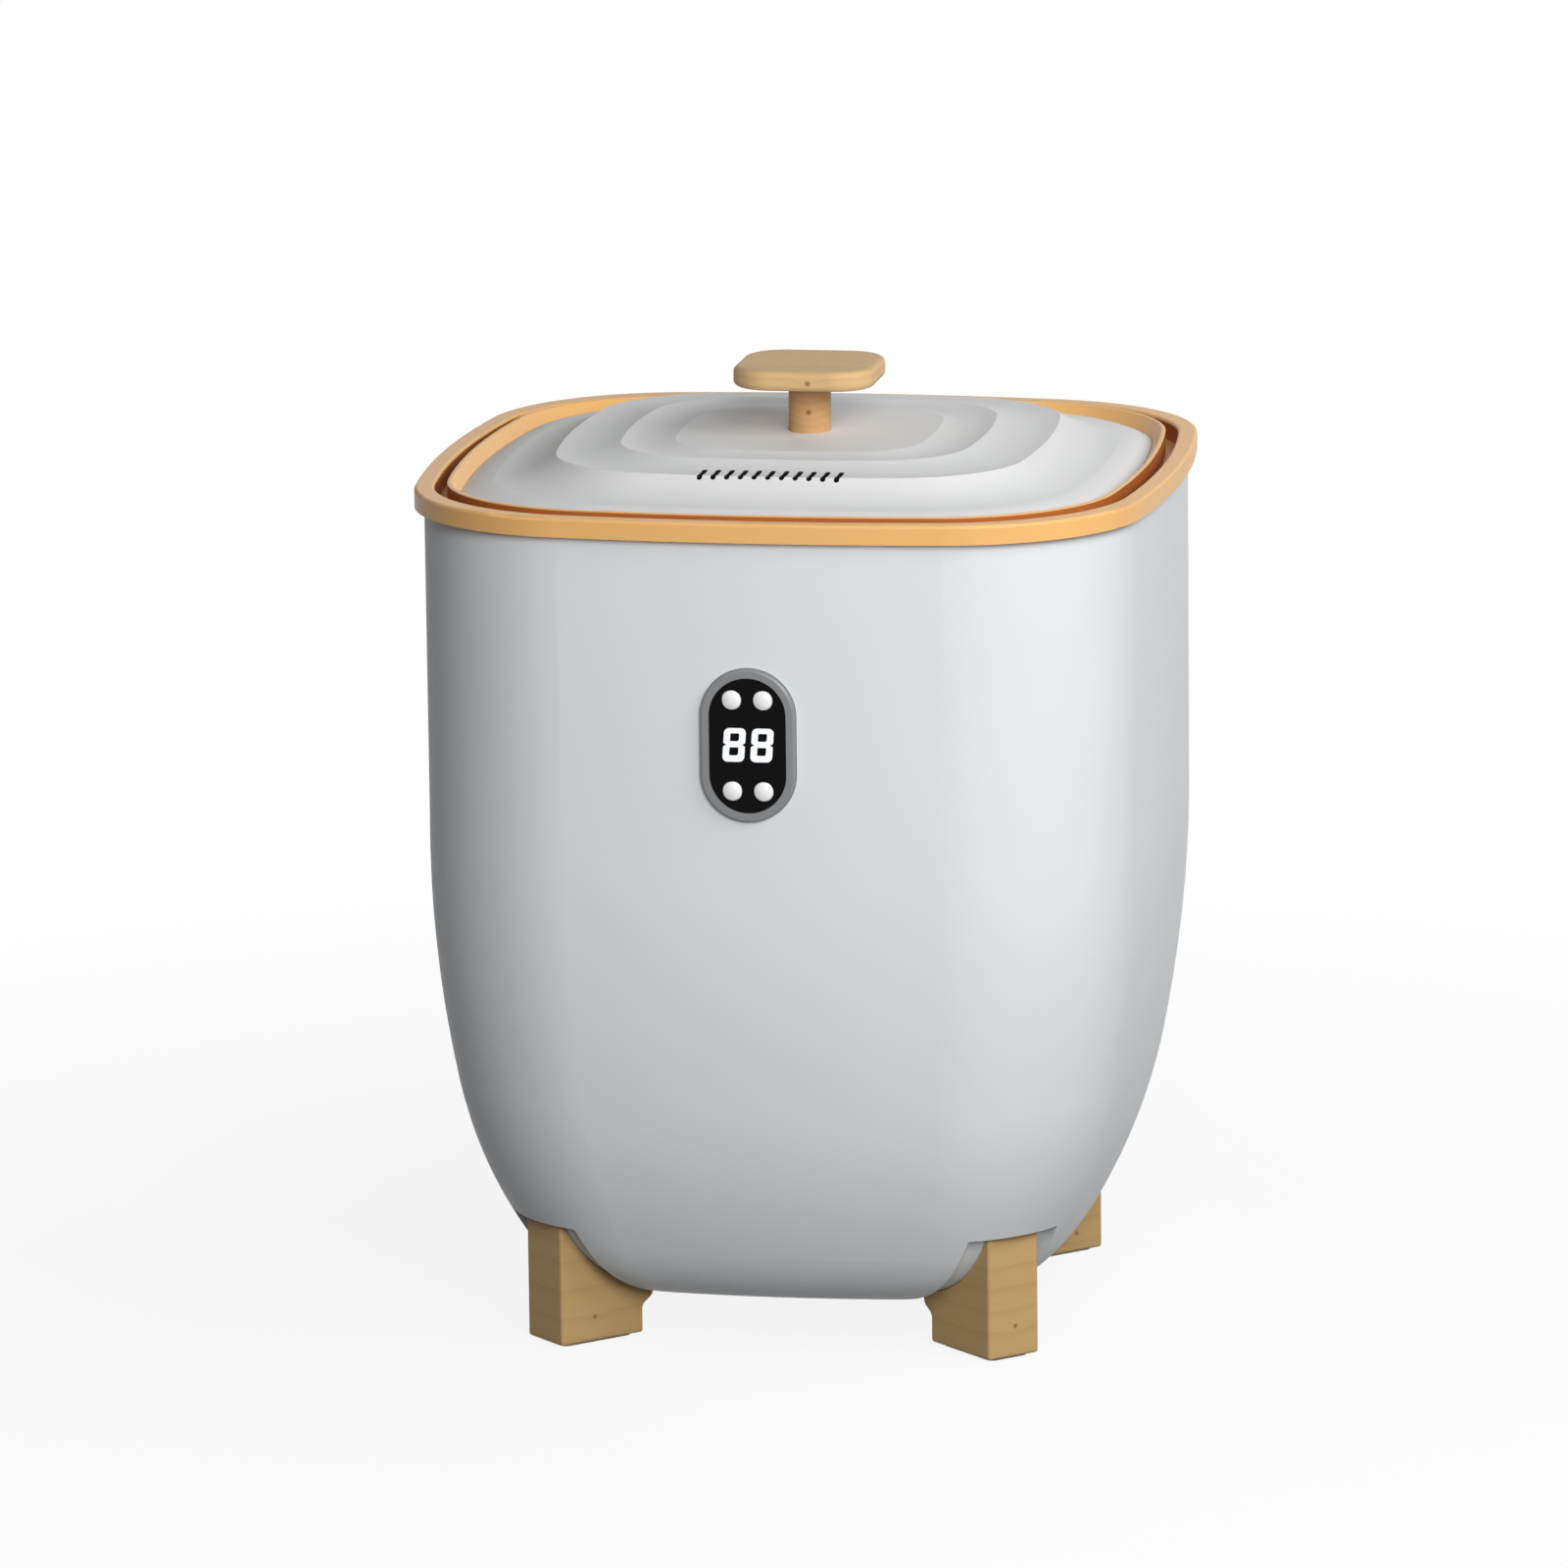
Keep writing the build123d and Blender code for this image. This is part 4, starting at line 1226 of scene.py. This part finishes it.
@dataclass
class Studio:
    """Camera, lamps, world and floor.

    Attributes:
        azimuth: turn of the camera from the front towards +X, degrees.
        elevation: height of the camera above level, degrees.
        distance: from the camera to its target, metres.
        focal: focal length in pixels of the 1600-pixel image.
        roll: clockwise roll of the camera, degrees.
        target: height that the camera looks at, metres.
        middle: where the target lies in the image, pixels.
        image: width of the image, pixels.
        lamp_target: height that the lamps point at, metres.
        white: of the backdrop.
        fill: colour of the even light from all round.
        fill_level: its strength.
        floor_reach: half the floor's width, metres.
        floor_cells: cells along its side.
        floor_tones: two colours that its own varies between, where the shadow shows.
        floor_bounce: colour with which it lights the bucket from below.
        floor_glow: share of the floor's look that no shadow darkens, near the bucket.
        floor_fade: distances between which that share grows to the whole, metres.
    """

    azimuth: float = 10.0
    elevation: float = 12.09
    distance: float = 4.622
    focal: float = 11309.0
    roll: float = 0.63
    target: float = 0.19375
    middle: tuple[float, float] = (831.3, 859.3)
    image: int = 1600
    lamp_target: float = 0.25
    white: RGB = (1.0, 1.0, 1.0)
    fill: RGB = (0.95, 0.98, 1.0)
    fill_level: float = 0.07
    floor_reach: float = 6.0
    floor_cells: int = 12
    floor_tones: tuple[RGB, RGB] = ((0.80, 0.80, 0.80), (0.78, 0.78, 0.79))
    floor_bounce: RGB = (0.16, 0.16, 0.16)
    floor_glow: float = 0.88
    floor_fade: tuple[float, float] = (0.25, 0.9)

    def camera(self) -> None:
        """Adds the camera at the photograph's viewpoint."""
        back = direction(self.azimuth, self.elevation)
        right = direction(self.azimuth + 90.0, 0.0)
        up = back.cross(right)
        lean = Matrix.Rotation(math.radians(-self.roll), 3, back)
        data = bpy.data.cameras.new("camera")
        data.sensor_width = 36.0
        data.sensor_fit = "HORIZONTAL"
        data.lens = self.focal / self.image * data.sensor_width
        data.shift_x = (self.image / 2 - self.middle[0]) / self.image
        data.shift_y = (self.middle[1] - self.image / 2) / self.image
        data.clip_end = 30.0
        holder = add_object("camera", data)
        place = Vector((0.0, 0.0, self.target)) + back * self.distance
        turned = Matrix((lean @ right, lean @ up, back)).transposed().to_4x4()
        holder.matrix_world = Matrix.Translation(place) @ turned
        bpy.context.scene.camera = holder

    def seen(self, graph: Graph) -> Socket:
        """Mask of the rays that show the background: to the camera, in reflections and through glass.

        Args:
            graph: graph that gets the nodes.

        Returns:
            The mask.
        """
        path = graph.node("ShaderNodeLightPath").outputs
        direct = graph.math("MAXIMUM", path["Is Camera Ray"], path["Is Transmission Ray"])
        return graph.math("MAXIMUM", direct, path["Is Glossy Ray"])

    def world(self) -> None:
        """Gives the scene a white backdrop and an even, low fill."""
        world = bpy.data.worlds.new("studio")
        bpy.context.scene.world = world
        world.use_nodes = True
        graph = Graph(world.node_tree)
        fill = graph.node("ShaderNodeBackground", {"Color": rgba(self.fill), "Strength": self.fill_level})
        white = graph.node("ShaderNodeBackground", {"Color": rgba(self.white), "Strength": 1.0})
        shaders = {0: self.seen(graph), 1: fill.outputs[0], 2: white.outputs[0]}
        mixed = graph.node("ShaderNodeMixShader", shaders)
        graph.node("ShaderNodeOutputWorld", {"Surface": mixed.outputs[0]})

    def floor(self) -> None:
        """Adds the floor, which looks white and keeps the object's shadow."""
        mesh = bpy.data.meshes.new("floor")
        grid = bmesh.new()
        cells = self.floor_cells
        bmesh.ops.create_grid(grid, x_segments=cells, y_segments=cells, size=self.floor_reach)
        grid.to_mesh(mesh)
        grid.free()
        mesh.materials.append(self.floor_material())
        add_object("floor", mesh)

    def floor_material(self) -> Material:
        """White that glows where it is seen, so that only a faint shadow shows.

        Returns:
            The material.
        """
        material = bpy.data.materials.new("floor")
        material.use_nodes = True
        graph = Graph(material.node_tree)
        place = graph.place()
        seen = self.seen(graph)
        pale = graph.mix(graph.noise(place, scale=3.0, detail=2.0), *map(rgba, self.floor_tones))
        matt = graph.node("ShaderNodeBsdfDiffuse", {"Color": graph.mix(seen, rgba(self.floor_bounce), pale)})
        glow = graph.node("ShaderNodeEmission", {"Color": rgba(self.white), "Strength": 1.0})
        away = graph.node("ShaderNodeVectorMath", {0: place}, operation="LENGTH").outputs["Value"]
        glowing = graph.math("MULTIPLY", seen, graph.scaled(away, self.floor_glow, 1.0, *self.floor_fade))
        mixed = graph.node("ShaderNodeMixShader", {0: glowing, 1: matt.outputs[0], 2: glow.outputs[0]})
        graph.node("ShaderNodeOutputMaterial", {"Surface": mixed.outputs[0]})
        return material

    def build(self) -> None:
        """Adds the whole stage."""
        bpy.context.scene.view_settings.view_transform = "Standard"
        self.camera()
        for lamp in LAMPS:
            lamp.build(Vector((0.0, 0.0, self.lamp_target)))
        self.world()
        self.floor()


def main() -> None:
    """Builds the scene."""
    logging.basicConfig(level=logging.INFO)
    palette = Palette()
    Studio().build()
    dress_nodes(palette)
    details = (
        Display(),
        Screws("base_cover_screws", "housing", Spread.ON_AXES),
        Screws("lid_screws", "lid", Spread.ON_CORNERS),
    )
    for detail in details:
        piece = detail.build(palette)
        log.info("made %s with %d faces", piece.name, len(piece.data.polygons))


if __name__ == "__main__":
    main()
